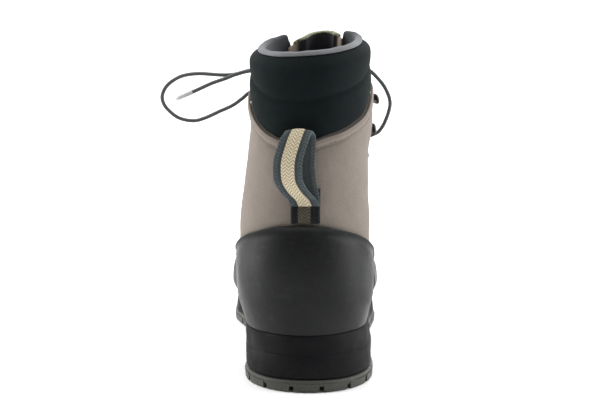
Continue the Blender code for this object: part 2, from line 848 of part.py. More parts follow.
def make_insole():
    """Flat footbed, inside the upper and on the midsole."""
    edge = -(WALL + 3 * GAP)
    rings = [
        sole_ring(edge, lambda y: feather(y) + GAP),
        sole_ring(edge, lambda y: feather(y) + GAP + INSOLE_THICKNESS),
    ]
    return build_object("insole", *ring_stack(rings), material("footbed", (0.05, 0.05, 0.055), 0.9))


def lug_block(corners):
    """Points and faces of one lug, which stands on the ground and reaches into the outsole's base."""
    middle = np.mean(corners, axis=0)
    away = corners - middle
    inset = middle + away * (1 - LUG_DRAFT / np.linalg.norm(away, axis=1, keepdims=True))
    foot = np.column_stack([inset, tread(inset[:, 1])])
    head = np.column_stack([corners, tread(corners[:, 1]) + LUG_DEPTH + 0.4 * OUTSOLE_BASE])
    return bar(np.stack([foot, head]))


def edge_lugs():
    """Plan outlines of the lugs round the sole's edge, with none along the arch."""
    u = np.linspace(-0.5, 0.5, 721)
    edge = sole_edge(u, SOLE_EDGE + OUTSOLE_PROUD + LUG_PROUD, SOLE_SKEW)[1]
    inner = sole_edge(u, SOLE_EDGE - LUG_REACH, SOLE_SKEW)[1]
    travel = np.concatenate([[0], np.cumsum(np.linalg.norm(np.diff(edge, axis=0), axis=1))])
    travel -= np.interp(0.0, u, travel)
    half = int(travel[-1] / LUG_PITCH)
    outlines = []
    for k in range(-half, half + 1):
        middle = k * LUG_PITCH
        stops = middle + (LUG_PITCH - LUG_SPACE) * np.array([-0.5, 0.0, 0.5])
        if abs(stops).max() > travel[-1]:
            continue
        rim = np.column_stack([np.interp(stops, travel, edge[:, i]) for i in (0, 1)])
        back = np.column_stack([np.interp(stops[::-2], travel, inner[:, i]) for i in (0, 1)])
        back = back * 0.94 + back.mean(axis=0) * 0.06
        share = rim[:, 1] / SOLE_LENGTH
        if share.max() < ARCH_BARE[0] or share.min() > ARCH_BARE[1]:
            outlines.append(np.concatenate([rim, back]))
    return outlines


def middle_lugs():
    """Plan outlines of the blocks down the middle of the heel and forefoot, as pointed blocks."""
    outlines = []
    wide = 0.5 * (LUG_PITCH - LUG_SPACE)
    long = TREAD_LENGTH * LUG_PITCH
    rows = [(HEEL_REST + k * TREAD_STEP * LUG_PITCH, 1) for k in (-1, 0, 1)]
    first = TREAD_START * SOLE_LENGTH
    rows += [(first + k * TREAD_STEP * LUG_PITCH, 3 if 1 < k < 5 else 2) for k in range(7)]
    for y, across in rows:
        centre = BALL_WIDTH * plan_centre(y / SOLE_LENGTH)
        for k in range(across):
            x = centre + (k - (across - 1) / 2) * TREAD_GAP * LUG_PITCH
            corners = [(-1, -1), (0, -0.55), (1, -1), (1, 1), (0, 1.45), (-1, 1)]
            if y == HEEL_REST:
                corners = [(-1, -1), (1, -1), (1, 1), (-1, 1)]
                x = 0.0
            outlines.append(np.array([(x + a * wide * 0.92, y + b * long) for a, b in corners]))
    return outlines


def make_outsole():
    """Grey rubber: a base sheet that follows the tread, with its lugs joined on."""
    edge = SOLE_EDGE + OUTSOLE_PROUD
    rings = [
        sole_ring(edge - OUTSOLE_BEVEL, lambda y: tread(y) + LUG_DEPTH, SOLE_SKEW),
        sole_ring(edge, lambda y: tread(y) + LUG_DEPTH + 0.3 * OUTSOLE_BASE, SOLE_SKEW),
        sole_ring(edge, lambda y: outsole_top(y) - 0.2 * OUTSOLE_BASE, SOLE_SKEW),
        sole_ring(edge - OUTSOLE_BEVEL, outsole_top, SOLE_SKEW),
    ]
    finish = material("grey_rubber", (0.060, 0.062, 0.056), 0.8)
    base = build_object("outsole", *ring_stack(rings), finish)
    points = []
    faces = []
    for outline in edge_lugs() + middle_lugs():
        block, sides = lug_block(outline)
        faces += [[k + len(points) for k in face] for face in sides]
        points += list(block)
    lugs = build_object("lug_cutter", points, faces, finish)
    join(base, lugs)
    return base


def join(base, other):
    """Joins other to base as one body, and keeps other only as a guide."""
    fuse = base.modifiers.new("join", "BOOLEAN")
    fuse.operation = "UNION"
    fuse.solver = "EXACT"
    fuse.use_self = True
    fuse.object = other
    other.hide_render = True
    other.display_type = "WIRE"


def open_levels(columns):
    """The upper's rows beside the throat, which close up to the collar's lower edge."""
    top = level_at(columns, collar_line(columns))
    return THROAT_LEVEL + (top - THROAT_LEVEL)[None, :] * np.array(OPEN_ROWS)[:, None]


def make_upper():
    """One hollow shell, open underneath, down the throat and along the collar line."""
    columns = np.linspace(-1, 1, ROUND + 1)
    closed = THROAT_LEVEL * np.array(CLOSED_ROWS)[:, None] + 0 * columns
    v = np.concatenate([closed, open_levels(columns)])
    split = len(closed) - 1
    p = np.broadcast_to(columns, v.shape)
    count = len(columns)
    sides = [skin(p, v, np.zeros(v.shape)), skin(p, v, np.full(v.shape, -WALL))]
    for grid in sides:
        grid[0, :, 2] = feather(grid[0, :, 1]) + GAP
    rows = len(v)
    points = np.concatenate([grid.reshape(-1, 3) for grid in sides])

    def at(i, j, side):
        j = 0 if i <= split and j == count - 1 else j
        return side * rows * count + i * count + j

    faces = []
    for i in range(rows - 1):
        for j in range(count - 1):
            for s in (0, 1):
                faces.append([at(i, j, s), at(i, j + 1, s), at(i + 1, j + 1, s), at(i + 1, j, s)])
    for i in (0, rows - 1):
        for j in range(count - 1):
            faces.append([at(i, j, 0), at(i, j + 1, 0), at(i, j + 1, 1), at(i, j, 1)])
    for i in range(split, rows - 1):
        for j in (0, count - 1):
            faces.append([at(i, j, 0), at(i + 1, j, 0), at(i + 1, j, 1), at(i, j, 1)])
    used = sorted({k for face in faces for k in face})
    new = {old: k for k, old in enumerate(used)}
    faces = [[new[k] for k in face] for face in faces]
    finish = material("taupe_fabric", (0.27, 0.22, 0.18), 0.8)
    return build_object("upper", points[used], faces, finish, 0.8)


def raised(top):
    """The outer face of a moulded overlay at height top, with a line raised near its upper edge."""

    def out(t):
        return top + RAISED_EDGE * (ramp(t, 0.86, 0.91) - ramp(t, 0.97, 1.0))

    return out


def make_counter():
    """Black rubber cup round the heel."""
    last = COUNTER_LINE["round"][-1]
    columns = columns_between(-last, last)
    high = level_at(columns, BACK_HEIGHT * counter_line(np.abs(columns)))
    rows = (0.0, 0.14, 0.30, 0.46, 0.62, 0.76, 0.86, 0.93, 1.0)
    low = np.zeros(len(columns))
    out = raised(OVERLAY_GAP + COUNTER_THICKNESS)
    return panel("heel_counter", columns, low, high, rows, OVERLAY_GAP, out, rubber())


def toe_cover(points):
    """Grows from below nought to above it where a point leaves the toe cap or its rand."""
    y, z = points[..., 1], points[..., 2]
    edge = SOLE_LENGTH - TOE_CAP_REACH - TOE_CAP_SLANT * (TOE_BOX_HEIGHT - z)
    cap = edge - y
    rear = 0.3 + 0.7 * ramp(y / SOLE_LENGTH, 0.50, 0.60)
    rand = z - feather(y) - RAND_HEIGHT * rear
    soft = 0.3 * RAND_HEIGHT
    h = np.clip(0.5 + 0.5 * (cap - rand) / soft, 0, 1)
    return cap * (1 - h) + rand * h - soft * h * (1 - h)


def make_toe_cap():
    """Black rubber over the toe, with a rand that runs back past the ball."""
    side = columns_between(0.55, 1.0 + 2 / ROUND)[:-1]
    columns = np.concatenate([side, (2 - side[:-1])[::-1]])
    share = np.minimum(columns, 2 - columns)
    high = np.minimum(level_where(share, toe_cover, np.zeros(len(share))), THROAT_LEVEL)
    low = np.zeros(len(columns))
    rows = (0.0, 0.13, 0.26, 0.38, 0.48, 0.57, 0.66, 0.75, 0.84, 0.92, 1.0)
    out = raised(TOE_CAP_GAP + TOE_CAP_THICKNESS)
    return panel("toe_cap", columns, low, high, rows, TOE_CAP_GAP, out, rubber())


def facing_inner_edge(v):
    """Column where the facing's edge lies away from the throat, at level v."""
    u = round_at(1.0, v)
    run = np.linalg.norm(last_point(u, v) - last_point(u - 0.004, v), axis=-1) / 0.004
    return 1 - FACING_WIDTH / (run * u)


def make_eyestay(name, side):
    """Facing along one edge of the throat, which carries the eyelets and hooks."""
    across = np.linspace(0, 1, 5)
    edge = facing_inner_edge(level_at(1.0, collar_line(1.0)))
    v = open_levels(side * (edge + (1 - edge) * across))
    edge = facing_inner_edge(v)
    p = side * (edge + (1 - edge) * across)
    outer = skin(p, v, np.full(v.shape, FACING_TOP))
    inner = skin(p, v, np.full(v.shape, OVERLAY_GAP))
    finish = material("taupe_facing", (0.20, 0.165, 0.14), 0.7)
    return build_object(name, *slab(outer, inner), finish)


def facing_column():
    """Column of the facing's edge up at the collar line."""
    return float(facing_inner_edge(level_at(1.0, collar_line(1.0)))[0])


def make_topline_band():
    """Folded band of the upper's fabric, sewn on just below the collar."""
    end = facing_column() - 0.02
    columns = columns_between(-end, end)
    line = collar_line(columns)
    low = level_at(columns, line - BAND_WIDTH)
    high = level_at(columns, line - GAP)
    finish = material("taupe_fabric", (0.27, 0.22, 0.18), 0.8)

    def out(t):
        return OVERLAY_GAP + BAND_THICKNESS * (0.7 + 0.3 * np.sin(math.pi * t))

    return panel("topline_band", columns, low, high, 3, OVERLAY_GAP, out, finish)


def puffed(t):
    """The collar's outer face: two soft puffs with a seam half way up, rounded in at the rim."""
    ends = 1 - np.abs(2 * np.mod(t * 2, 1.0) - 1) ** 2.5
    seam = np.exp(-(((t - 0.5) / 0.05) ** 2))
    puffs = COLLAR_PUFF * np.where((t > 0) & (t < 1), ends, 0.0) - COLLAR_SEAM_DEPTH * seam
    return puffs - COLLAR_ROUNDING * np.clip((t - 0.78) / 0.22, 0, 1) ** 2


def collar_inside(t):
    return -WALL - (COLLAR_PADDING - WALL) * ramp(t, 0.0, 0.35)


def coarse_columns():
    """Every second column, for the padded and folded pieces that go right round the shaft."""
    return np.linspace(-1, 1, ROUND + 1)[::2]


def make_collar():
    """Black padded collar, open at the throat."""
    columns = coarse_columns()
    low = level_at(columns, collar_line(columns) + 3 * GAP)
    high = np.ones(len(columns))
    rows = (0.0, 0.1, 0.25, 0.42, 0.5, 0.58, 0.75, 0.86, 0.94, 1.0)
    finish = material("black_neoprene", (0.008, 0.011, 0.012), 0.85)
    return panel("collar", columns, low, high, rows, collar_inside, puffed, finish)


def make_lining():
    """Light grey lining: it stands inside the collar and rolls over its rim."""
    columns = coarse_columns()
    one = np.ones(len(columns))
    rim = skin(columns, one, 0 * one)
    out = last_normal(round_at(columns, one), one)
    up = skin(columns, one + 0.02, 0 * one) - rim
    up /= np.linalg.norm(up, axis=1, keepdims=True)
    near = -COLLAR_ROUNDING
    inside = -COLLAR_PADDING - GAP
    far = inside - LINING_THICKNESS

    def above(share, height):
        return rim + out * (near + (far - near) * share) + up * (GAP + LINING_ROLL * height)

    def beside(distance, drop):
        levels = level_at(columns, rim[:, 2] - drop)
        return skin(columns, levels, distance * one)

    loop = [
        above(0.0, 0.0),
        rim + out * inside + up * GAP,
        beside(inside, LINING_DEPTH / 2),
        beside(inside, LINING_DEPTH),
        beside(far, LINING_DEPTH),
        beside(far, LINING_DEPTH / 2),
        above(1.0, 0.2),
        above(0.85, 0.75),
        above(0.5, 1.0),
        above(0.12, 0.8),
        above(-0.08, 0.35),
    ]
    sections = np.stack(loop, axis=1)
    finish = material("grey_lining", (0.30, 0.31, 0.34), 0.9)
    return build_object("collar_lining", *bar(sections), finish)


def make_backstay():
    """Webbing strip up the centre of the back, from the counter to just past the pull loop's foot."""
    low = level_at(0.0, BACK_HEIGHT * counter_line(0.0) + 3 * GAP)[0]
    high = level_at(0.0, LOOP_FOOT + BACKSTAY_OVER)[0]
    levels = np.linspace(low, high, 5)
    across = WEBBING_OFFSET + 0.5 * WEBBING_WIDTH * np.linspace(-1, 1, 5)
    rounds = np.linspace(-0.15, 0.15, 61)
    places = straight_point(rounds[None, :], levels[:, None])[0]
    u = np.array([np.interp(across, row, rounds) for row in places])
    v = np.broadcast_to(levels[:, None], u.shape)
    place = last_point(u, v)
    out = last_normal(u, v)
    finish = material("slate_webbing", (0.045, 0.058, 0.062), 0.85)
    faces = slab(place + out * (GAP + WEBBING_THICKNESS), place + out * GAP)
    return build_object("backstay", *faces, finish)


def back_at(height):
    """Distance of the boot's back from the heel's back edge at a height."""
    v = level_at(np.zeros(len(height)), height)
    return last_point(np.zeros(len(height)), v)[:, 1]


def path_frames(path, side):
    """Directions along a path, and out of its flat side."""
    along = np.gradient(path, axis=0)
    along /= np.linalg.norm(along, axis=1, keepdims=True)
    out = np.cross(along, side)
    return along, out / np.linalg.norm(out, axis=1, keepdims=True)


def make_pull_loop():
    """Webbing loop that stands off the back, with both feet sewn to the backstay."""
    key = np.linspace(0, 1, len(PULL_LOOP["rise"]))
    t = np.linspace(0, 1, 22)
    side, out, rise = (curve_through(key, PULL_LOOP[name])(t) for name in ("side", "out", "rise"))
    height = LOOP_FOOT + LOOP_HEIGHT * rise
    stand_off = 1.5 * WEBBING_THICKNESS + 3 * GAP - LOOP_CLEAR
    foot = back_at(LOOP_FOOT + 0.0 * height)
    clear = np.minimum(back_at(height), foot)
    lean = axis(clear, height) + WEBBING_OFFSET
    path = np.column_stack([lean - side * MM, clear - stand_off - out * MM, height])
    wide = np.array([0.5 * WEBBING_WIDTH, 0.0, 0.0])
    _, face = path_frames(path, np.array([1.0, 0.0, 0.0]))
    thick = face * WEBBING_THICKNESS / 2
    corners = [path - wide - thick, path + wide - thick, path + wide + thick, path - wide + thick]
    sections = np.stack(corners, axis=1)
    finish = material("slate_webbing", (0.045, 0.058, 0.062), 0.85)
    return build_object("pull_loop", *bar(sections), finish)


def make_tongue():
    """Padded tongue that thins to a gusset wing at each side, where it tucks behind the collar."""
    top = level_at(1.0, BACK_HEIGHT * LEVELS["front"][-2] - TONGUE_SHOULDER)[0]
    v = np.concatenate([np.linspace(THROAT_LEVEL - 0.02, 0.84, 7), [0.88, 0.92, 0.96, top]])
    across = np.linspace(-1, 1, 9)
    half = THROAT_WIDTH * throat_half(np.maximum(v, 0.56)) + TONGUE_OVERLAP
    sides = []
    depth_out = []
    for level, reach in zip(v, half):
        rounds = np.linspace(0.5, 0.2, 120)
        x = straight_point(rounds, np.full(120, level))[0]
        share = np.interp(np.abs(across) * reach, x, rounds)
        sides.append(np.where(across > 0, share, 1 - share))
        tucked = ramp(level, 0.84, 0.91) * ramp(np.abs(across), *TONGUE_TUCK)
        depth_out.append(-WALL - 3 * GAP - tucked * (COLLAR_PADDING + LINING_THICKNESS + GAP))
    u = np.array(sides)
    out = np.array(depth_out)
    crown = tongue_rise(across) / BACK_HEIGHT
    v = v[:, None] + np.where(np.arange(len(v)) == len(v) - 1, 1.0, 0.0)[:, None] * crown
    pad = TONGUE_WING + (TONGUE_THICKNESS - TONGUE_WING) * (1 - ramp(np.abs(across), 0.55, 0.85))
    place = last_point(u, v)
    normal = last_normal(u, v)
    place[..., 0] += TONGUE_DRIFT * ramp(v, 0.90, 1.02) * (1 - across**2)
    outer = place + normal * out[..., None]
    inner = place + normal * (out - pad)[..., None]
    return build_object("tongue", *slab(outer, inner), material("tongue_fabric", (0.06, 0.06, 0.07), 0.9))


def fixing(height, setback, side):
    """Round share and level of a lace fixing beside the throat."""
    v = level_at(1.0, BACK_HEIGHT * height)[0]
    edge = float(round_at(1.0, v))
    run = np.linalg.norm(last_point(edge, v) - last_point(edge - 0.004, v)) / 0.004
    return side * (edge - setback / run), v


def around(u, v, side, away, up, lift):
    """Points at height lift over the last's surface, at distances away from the throat and up along it
    from a fixing."""
    step = 0.003
    place = last_point(u, v)
    out = last_normal(u, v)
    round_way = (last_point(u - side * step, v) - place) / step
    level_way = (last_point(u, v + step) - place) / step
    away_way = round_way / np.linalg.norm(round_way)
    up_way = np.cross(out, away_way) * side
    ways = [[round_way @ away_way, level_way @ away_way], [round_way @ up_way, level_way @ up_way]]
    turn = np.linalg.inv(ways)
    around_u, around_v = turn @ np.array([away, up])
    around_u = u - side * around_u
    around_v = v + around_v
    return last_point(around_u, around_v) + last_normal(around_u, around_v) * np.asarray(lift)[..., None]


def make_eyelet(name, height, side):
    """Round metal ring on the facing."""
    u, v = fixing(height, EYELET_SETBACK, side)
    seat = FACING_TOP + 3 * GAP
    angles = 2 * math.pi * np.arange(8) / 8
    profile = (
        (EYELET_OUTER / 2, seat),
        (EYELET_OUTER / 2 - EYELET_HEIGHT / 2, seat + EYELET_HEIGHT),
        (EYELET_INNER / 2, seat + EYELET_HEIGHT),
        (EYELET_INNER / 2, seat),
    )
    rings = [
        around(u, v, side, radius * np.cos(angles), radius * np.sin(angles), np.full(len(angles), lift))
        for radius, lift in profile
    ]
    points = np.concatenate(rings)
    count = len(angles)
    faces = []
    for i in range(4):
        for j in range(count):
            k = (j + 1) % count
            n = (i + 1) % 4
            faces.append([i * count + j, i * count + k, n * count + k, n * count + j])
    return build_object(name, points, faces, metal())


def make_hook(name, height, side):
    """Open speed hook: a plate on the facing and a lip that curls away from the throat."""
    u, v = fixing(height, HOOK_SETBACK, side)
    seat = FACING_TOP + 3 * GAP
    back = -0.42 * HOOK_LENGTH
    front = back + HOOK_LENGTH
    tip = back + 0.78 * HOOK_LENGTH
    sheet = HOOK_METAL
    outline = (
        (front, 0.0),
        (front, sheet),
        (back + sheet, sheet),
        (back + sheet, HOOK_HEIGHT - sheet),
        (tip, HOOK_HEIGHT - 0.8 * sheet),
        (tip, HOOK_HEIGHT + 0.4 * sheet),
        (back + 0.8 * sheet, HOOK_HEIGHT),
        (back, HOOK_HEIGHT - sheet),
        (back, 0.0),
    )
    away = np.array([d for d, _ in outline])
    lift = seat + np.array([h for _, h in outline])
    half = np.full(len(away), HOOK_WIDTH / 2)
    sections = [around(u, v, side, away, up, lift) for up in (-half, half)]
    return build_object(name, *bar(np.stack(sections)), metal())


def tube(path, radius, sides=5):
    """Points and faces of a round bar along a path."""
    along = np.gradient(path, axis=0)
    along /= np.linalg.norm(along, axis=1, keepdims=True)
    guide = np.array([0.0, 0.0, 1.0]) if abs(along[:, 2]).mean() < 0.7 else np.array([1.0, 0.0, 0.0])
    sections = []
    for point, way in zip(path, along):
        first = np.cross(way, guide)
        first /= np.linalg.norm(first)
        second = np.cross(way, first)
        turns = 2 * math.pi * np.arange(sides) / sides
        sections.append([point + radius * (math.cos(a) * first + math.sin(a) * second) for a in turns])
    return bar(np.array(sections))


def lace_run(start, end, lift):
    """A lace's run over the tongue between two fixings, each a round share and a level."""
    t = np.linspace(0, 1, 7)
    u = start[0] + (end[0] - start[0]) * t
    v = start[1] + (end[1] - start[1]) * t
    over = FACING_TOP + LACE_REST + LACE_DIAMETER / 2
    low = -WALL + 2 * GAP + LACE_DIAMETER / 2 + lift
    share = ramp(np.abs(2 * t - 1), 0.25, 0.75)
    out = low + (over - low) * share
    return last_point(u, v) + last_normal(u, v) * out[:, None]


def fixing_ends(height, setback, inset):
    """Where the lace's runs end at a pair of fixings, just on the throat's side of each."""
    u, v = fixing(height, setback - inset, 1)
    return (u, v), (1 - u, v)


def make_crossings():
    """A bar over the bottom of the throat, then a cross between each two pairs of fixings."""
    pairs = [fixing_ends(h, EYELET_SETBACK, EYELET_REACH * EYELET_OUTER) for h in EYELET_HEIGHTS]
    pairs += [fixing_ends(h, HOOK_SETBACK, HOOK_REACH * HOOK_LENGTH) for h in HOOK_HEIGHTS]
    made = []
    first = build_object("lace_bar", *tube(lace_run(*pairs[0], 0.0), LACE_DIAMETER / 2), lace_cord())
    made.append(first)
    for k in range(len(pairs) - 1):
        (a_outer, a_inner), (b_outer, b_inner) = pairs[k], pairs[k + 1]
        a_outer, a_inner = ((e[0], e[1] + CROSSING_SPREAD) for e in (a_outer, a_inner))
        b_outer, b_inner = ((e[0], e[1] - CROSSING_SPREAD) for e in (b_outer, b_inner))
        over = tube(lace_run(a_outer, b_inner, GAP), LACE_DIAMETER / 2)
        under = tube(lace_run(a_inner, b_outer, 0.0), LACE_DIAMETER / 2)
        cross = build_object(f"lace_cross_{k + 1}", *over, lace_cord())
        other = build_object(f"lace_cross_{k + 1}_cutter", *under, lace_cord())
        join(cross, other)
        made.append(cross)
    return made


def knot_place():
    """The knot's middle and its three directions: towards the outer side, out and up."""
    v = float(np.interp(KNOT_HEIGHT * BACK_HEIGHT, *front_heights()))
    place = last_point(0.5, v)
    out = last_normal(0.5, v)
    side = np.array([1.0, 0.0, 0.0])
    side -= out * np.dot(side, out)
    side /= np.linalg.norm(side)
    return place + out * KNOT_SEAT, side, out, np.cross(side, out)


def front_heights():
    """Heights of the last's front middle line, and their levels."""
    levels = np.linspace(THROAT_LEVEL, TOP_LEVEL, 90)
    return last_point(np.full(len(levels), 0.5), levels)[:, 2], levels


def make_top_run():
    """The lace's last run: from both top hooks up to the underside of the knot."""
    (u, v), _ = fixing_ends(HOOK_HEIGHTS[-1], HOOK_SETBACK, HOOK_REACH * HOOK_LENGTH)
    v += CROSSING_SPREAD
    knot, _, _, up = knot_place()
    under = knot[2] - up[2] * (KNOT_SIZE / 2 + GAP + LACE_DIAMETER / 2)
    apex = float(np.interp(under, *front_heights()))
    t = np.linspace(0, 1, 13)
    share = 1 - np.sqrt(((2 * t - 1) ** 2 + 0.01) / 1.01)
    share /= share.max()
    rounds = u + (1 - 2 * u) * t
    levels = v + (apex - v) * share
    over = FACING_TOP + LACE_REST + LACE_DIAMETER / 2
    low = -WALL + 2 * GAP + LACE_DIAMETER / 2
    out = low + (over - low) * ramp(np.abs(2 * t - 1), 0.35, 0.85)
    path = last_point(rounds, levels) + last_normal(rounds, levels) * out[:, None]
    return build_object("lace_top", *tube(path, LACE_DIAMETER / 2), lace_cord())


def make_knot():
    """The bow's knot: one wrap of lace round the two that pass through it."""
    middle, side, out, up = knot_place()
    turns = 2 * math.pi * np.arange(10) / 10
    sections = []
    for along, radius in zip(KNOT["along"], KNOT["radius"]):
        ways = [out * math.cos(a) + up * math.sin(a) for a in turns]
        sections.append([middle + KNOT_SIZE * (side * along + radius * way) for way in ways])
    return build_object("lace_knot", *bar(np.array(sections)), lace_cord())


def smooth_route(route):
    """A smooth path from the knot through a table's places, with points at equal steps."""
    middle = knot_place()[0]
    stops = np.column_stack([route[name] for name in ("side", "front", "rise")]) * BOW_REACH + middle
    before = np.vstack([2 * stops[0] - stops[1], stops[:-1]])
    after = np.vstack([stops[1:], 2 * stops[-1] - stops[-2]])
    tangent = (after - before) / 2
    t = np.linspace(0, 1, 12, endpoint=False)[:, None]
    pieces = []
    for k in range(len(stops) - 1):
        start = stops[k] * (1 + 2 * t) * (1 - t) ** 2 + tangent[k] * t * (1 - t) ** 2
        end = stops[k + 1] * t * t * (3 - 2 * t) + tangent[k + 1] * t * t * (t - 1)
        pieces.append(start + end)
    fine = np.vstack(pieces + [stops[-1:]])
    travel = np.concatenate([[0], np.cumsum(np.linalg.norm(np.diff(fine, axis=0), axis=1))])
    count = round(travel[-1] / (3 * LACE_DIAMETER)) + 1
    steps = np.linspace(0, travel[-1], count)
    return np.column_stack([np.interp(steps, travel, fine[:, i]) for i in range(3)])


def make_cord(name, route):
    """A free length of lace, as a round tube along a smooth path."""
    path = smooth_route(route)
    curve = bpy.data.curves.new(name, "CURVE")
    curve.dimensions = "3D"
    curve.bevel_depth = LACE_DIAMETER / 2
    curve.bevel_resolution = 2
    curve.use_fill_caps = True
    line = curve.splines.new("POLY")
    line.points.add(len(path) - 1)
    for point, (x, y, z) in zip(line.points, path):
        point.co = (x, y - HEEL_REST, z, 1.0)
    curve.materials.append(lace_cord())
    made = bpy.data.objects.new(name, curve)
    bpy.context.scene.collection.objects.link(made)
    return path


def make_aglet(name, path):
    """Moulded tip just past a lace's end."""
    way = path[-1] - path[-2]
    way /= np.linalg.norm(way)
    shape = ((0.0, 1.0), (0.75, 1.0), (1.0, 0.55))
    side = np.cross(way, np.array([0.0, 0.0, 1.0]))
    side /= np.linalg.norm(side)
    up = np.cross(way, side)
    turns = 2 * math.pi * np.arange(8) / 8
    sections = []
    for along, wide in shape:
        middle = path[-1] + way * (GAP + AGLET_LENGTH * along)
        spokes = [side * math.cos(a) + up * math.sin(a) for a in turns]
        sections.append([middle + 0.5 * AGLET_DIAMETER * wide * spoke for spoke in spokes])
    finish = material("grey_tip", (0.55, 0.56, 0.57), 0.45)
    return build_object(name, *bar(np.array(sections)), finish)


def main():
    clear_scene()
    make_outsole()
    make_midsole()
    make_insole()
    make_upper()
    make_counter()
    make_toe_cap()
    make_eyestay("eyestay_outer", 1)
    make_eyestay("eyestay_inner", -1)
    make_topline_band()
    make_collar()
    make_lining()
    make_backstay()
    make_pull_loop()
    make_tongue()
    for k, height in enumerate(EYELET_HEIGHTS):
        make_eyelet(f"eyelet_outer_{k + 1}", height, 1)
        make_eyelet(f"eyelet_inner_{k + 1}", height, -1)
    for k, height in enumerate(HOOK_HEIGHTS):
        make_hook(f"hook_outer_{k + 1}", height, 1)
        make_hook(f"hook_inner_{k + 1}", height, -1)
    make_crossings()
    make_top_run()
    make_knot()
    make_cord("lace_loop_inner", LOOP_INNER)
    make_cord("lace_loop_outer", LOOP_OUTER)
    make_aglet("aglet_inner", make_cord("lace_end_inner", END_INNER))
    make_aglet("aglet_outer", make_cord("lace_end_outer", END_OUTER))


main()
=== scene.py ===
# %% [markdown]
# # Dressing a wading boot
#
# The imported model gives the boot's solids in metres, with the toe along +Y and the outer side of the
# right foot towards +X. This lesson dresses them: it replaces each plain solid with a finer piece cut
# from the same last, and gives each piece a finish made of nodes.
#
# The frame comes first, because every later piece rides on it.

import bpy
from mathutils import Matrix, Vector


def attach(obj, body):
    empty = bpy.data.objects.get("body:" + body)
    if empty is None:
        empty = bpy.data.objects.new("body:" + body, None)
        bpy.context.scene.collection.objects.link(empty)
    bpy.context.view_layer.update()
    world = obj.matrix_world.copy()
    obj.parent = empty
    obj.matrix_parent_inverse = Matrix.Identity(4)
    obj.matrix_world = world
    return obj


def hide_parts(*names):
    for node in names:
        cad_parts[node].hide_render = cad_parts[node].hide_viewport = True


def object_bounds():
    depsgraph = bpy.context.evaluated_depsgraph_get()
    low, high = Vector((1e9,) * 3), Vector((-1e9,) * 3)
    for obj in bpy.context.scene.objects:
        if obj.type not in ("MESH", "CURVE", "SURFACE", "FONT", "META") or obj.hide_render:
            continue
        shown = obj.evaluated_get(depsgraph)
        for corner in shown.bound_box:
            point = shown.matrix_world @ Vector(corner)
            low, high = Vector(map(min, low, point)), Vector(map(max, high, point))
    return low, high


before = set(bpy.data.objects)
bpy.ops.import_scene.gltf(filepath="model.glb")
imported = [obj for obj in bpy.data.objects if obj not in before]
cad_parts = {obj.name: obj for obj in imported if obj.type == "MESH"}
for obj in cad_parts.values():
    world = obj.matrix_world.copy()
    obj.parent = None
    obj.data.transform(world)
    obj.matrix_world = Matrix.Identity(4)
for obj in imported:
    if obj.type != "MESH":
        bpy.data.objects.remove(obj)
CAD_BOX = [list(map(float, corner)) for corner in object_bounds()]

import math

import bmesh
import bpy
import numpy as np
from mathutils import Matrix, Vector

MM = 0.001
SEED = 11
print("nodes in the frame:", len(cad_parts), "box:", CAD_BOX)

# %% [markdown]
# ## The camera
#
# The photo was taken from straight behind the boot and a little above it. The camera's place, its two
# angles and its lens were worked out from the sizes of the near and far parts, so the pieces can be
# compared with the photo line by line.

# %% Place the camera behind the heel
EYE = Vector((0.02432, -0.84964, 0.236))
TURN = math.radians(2.0)
PITCH = math.radians(8.2)
LENS = 79.8

ahead = Vector((-math.sin(TURN) * math.cos(PITCH), math.cos(TURN) * math.cos(PITCH), -math.sin(PITCH)))
right = Vector((math.cos(TURN), math.sin(TURN), 0.0))
up = right.cross(ahead)
camera = bpy.data.objects.new("camera", bpy.data.cameras.new("camera"))
camera.data.lens = LENS
camera.data.sensor_width = 36.0
camera.data.clip_start = 0.01
camera.matrix_world = Matrix.Translation(EYE) @ Matrix((right, up, -ahead)).transposed().to_4x4()
bpy.context.scene.collection.objects.link(camera)
bpy.context.scene.camera = camera
print("camera looks along", tuple(round(c, 3) for c in ahead))

# %% [markdown]
# ## Small tools for meshes
#
# Most pieces of a boot are sheets, strips or cords. A sheet is a grid of points with a second grid
# behind it, and a cord is a ring of points carried along a path. Two helpers build both as closed
# meshes and keep a UV map in centimetres, so that a weave has one size wherever it is used.


# %% Build closed meshes from grids and rings
CM_PER_M = 100


def travelled(path):
    """How far along a path each of its points lies."""
    return np.concatenate([[0], np.cumsum(np.linalg.norm(np.diff(path, axis=0), axis=1))])


def full_turn(count):
    """Equal angles once round."""
    return 2 * math.pi * np.arange(count) / count


def link_piece(name, shape, finish, smooth_angle=0.7):
    """A piece that rides on the boot, from its points, its faces and, where it has them, its UVs."""
    points, faces, *uv = shape
    mesh = bpy.data.meshes.new(name)
    mesh.from_pydata([tuple(map(float, p)) for p in points], [], [tuple(map(int, f)) for f in faces])
    if uv:
        layer = mesh.uv_layers.new(name="cut")
        index = np.empty(len(mesh.loops), dtype=np.int32)
        mesh.loops.foreach_get("vertex_index", index)
        layer.data.foreach_set("uv", np.asarray(uv[0], dtype=np.float32)[index].ravel())
    work = bmesh.new()
    work.from_mesh(mesh)
    bmesh.ops.recalc_face_normals(work, faces=work.faces)
    if work.calc_volume(signed=True) < 0:
        bmesh.ops.reverse_faces(work, faces=work.faces)
    work.to_mesh(mesh)
    work.free()
    mesh.shade_smooth()
    mesh.set_sharp_from_angle(angle=smooth_angle)
    mesh.materials.append(finish)
    piece = bpy.data.objects.new(name, mesh)
    bpy.context.scene.collection.objects.link(piece)
    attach(piece, "root")
    return piece


def grid_uv(grid):
    """Distances across and up a grid of points in centimetres, measured on its middle row and column."""
    rows, columns = grid.shape[:2]
    u = travelled(grid[rows // 2]) * CM_PER_M
    v = travelled(grid[:, columns // 2]) * CM_PER_M
    return np.stack(np.broadcast_arrays(u[None, :], v[:, None]), axis=-1)


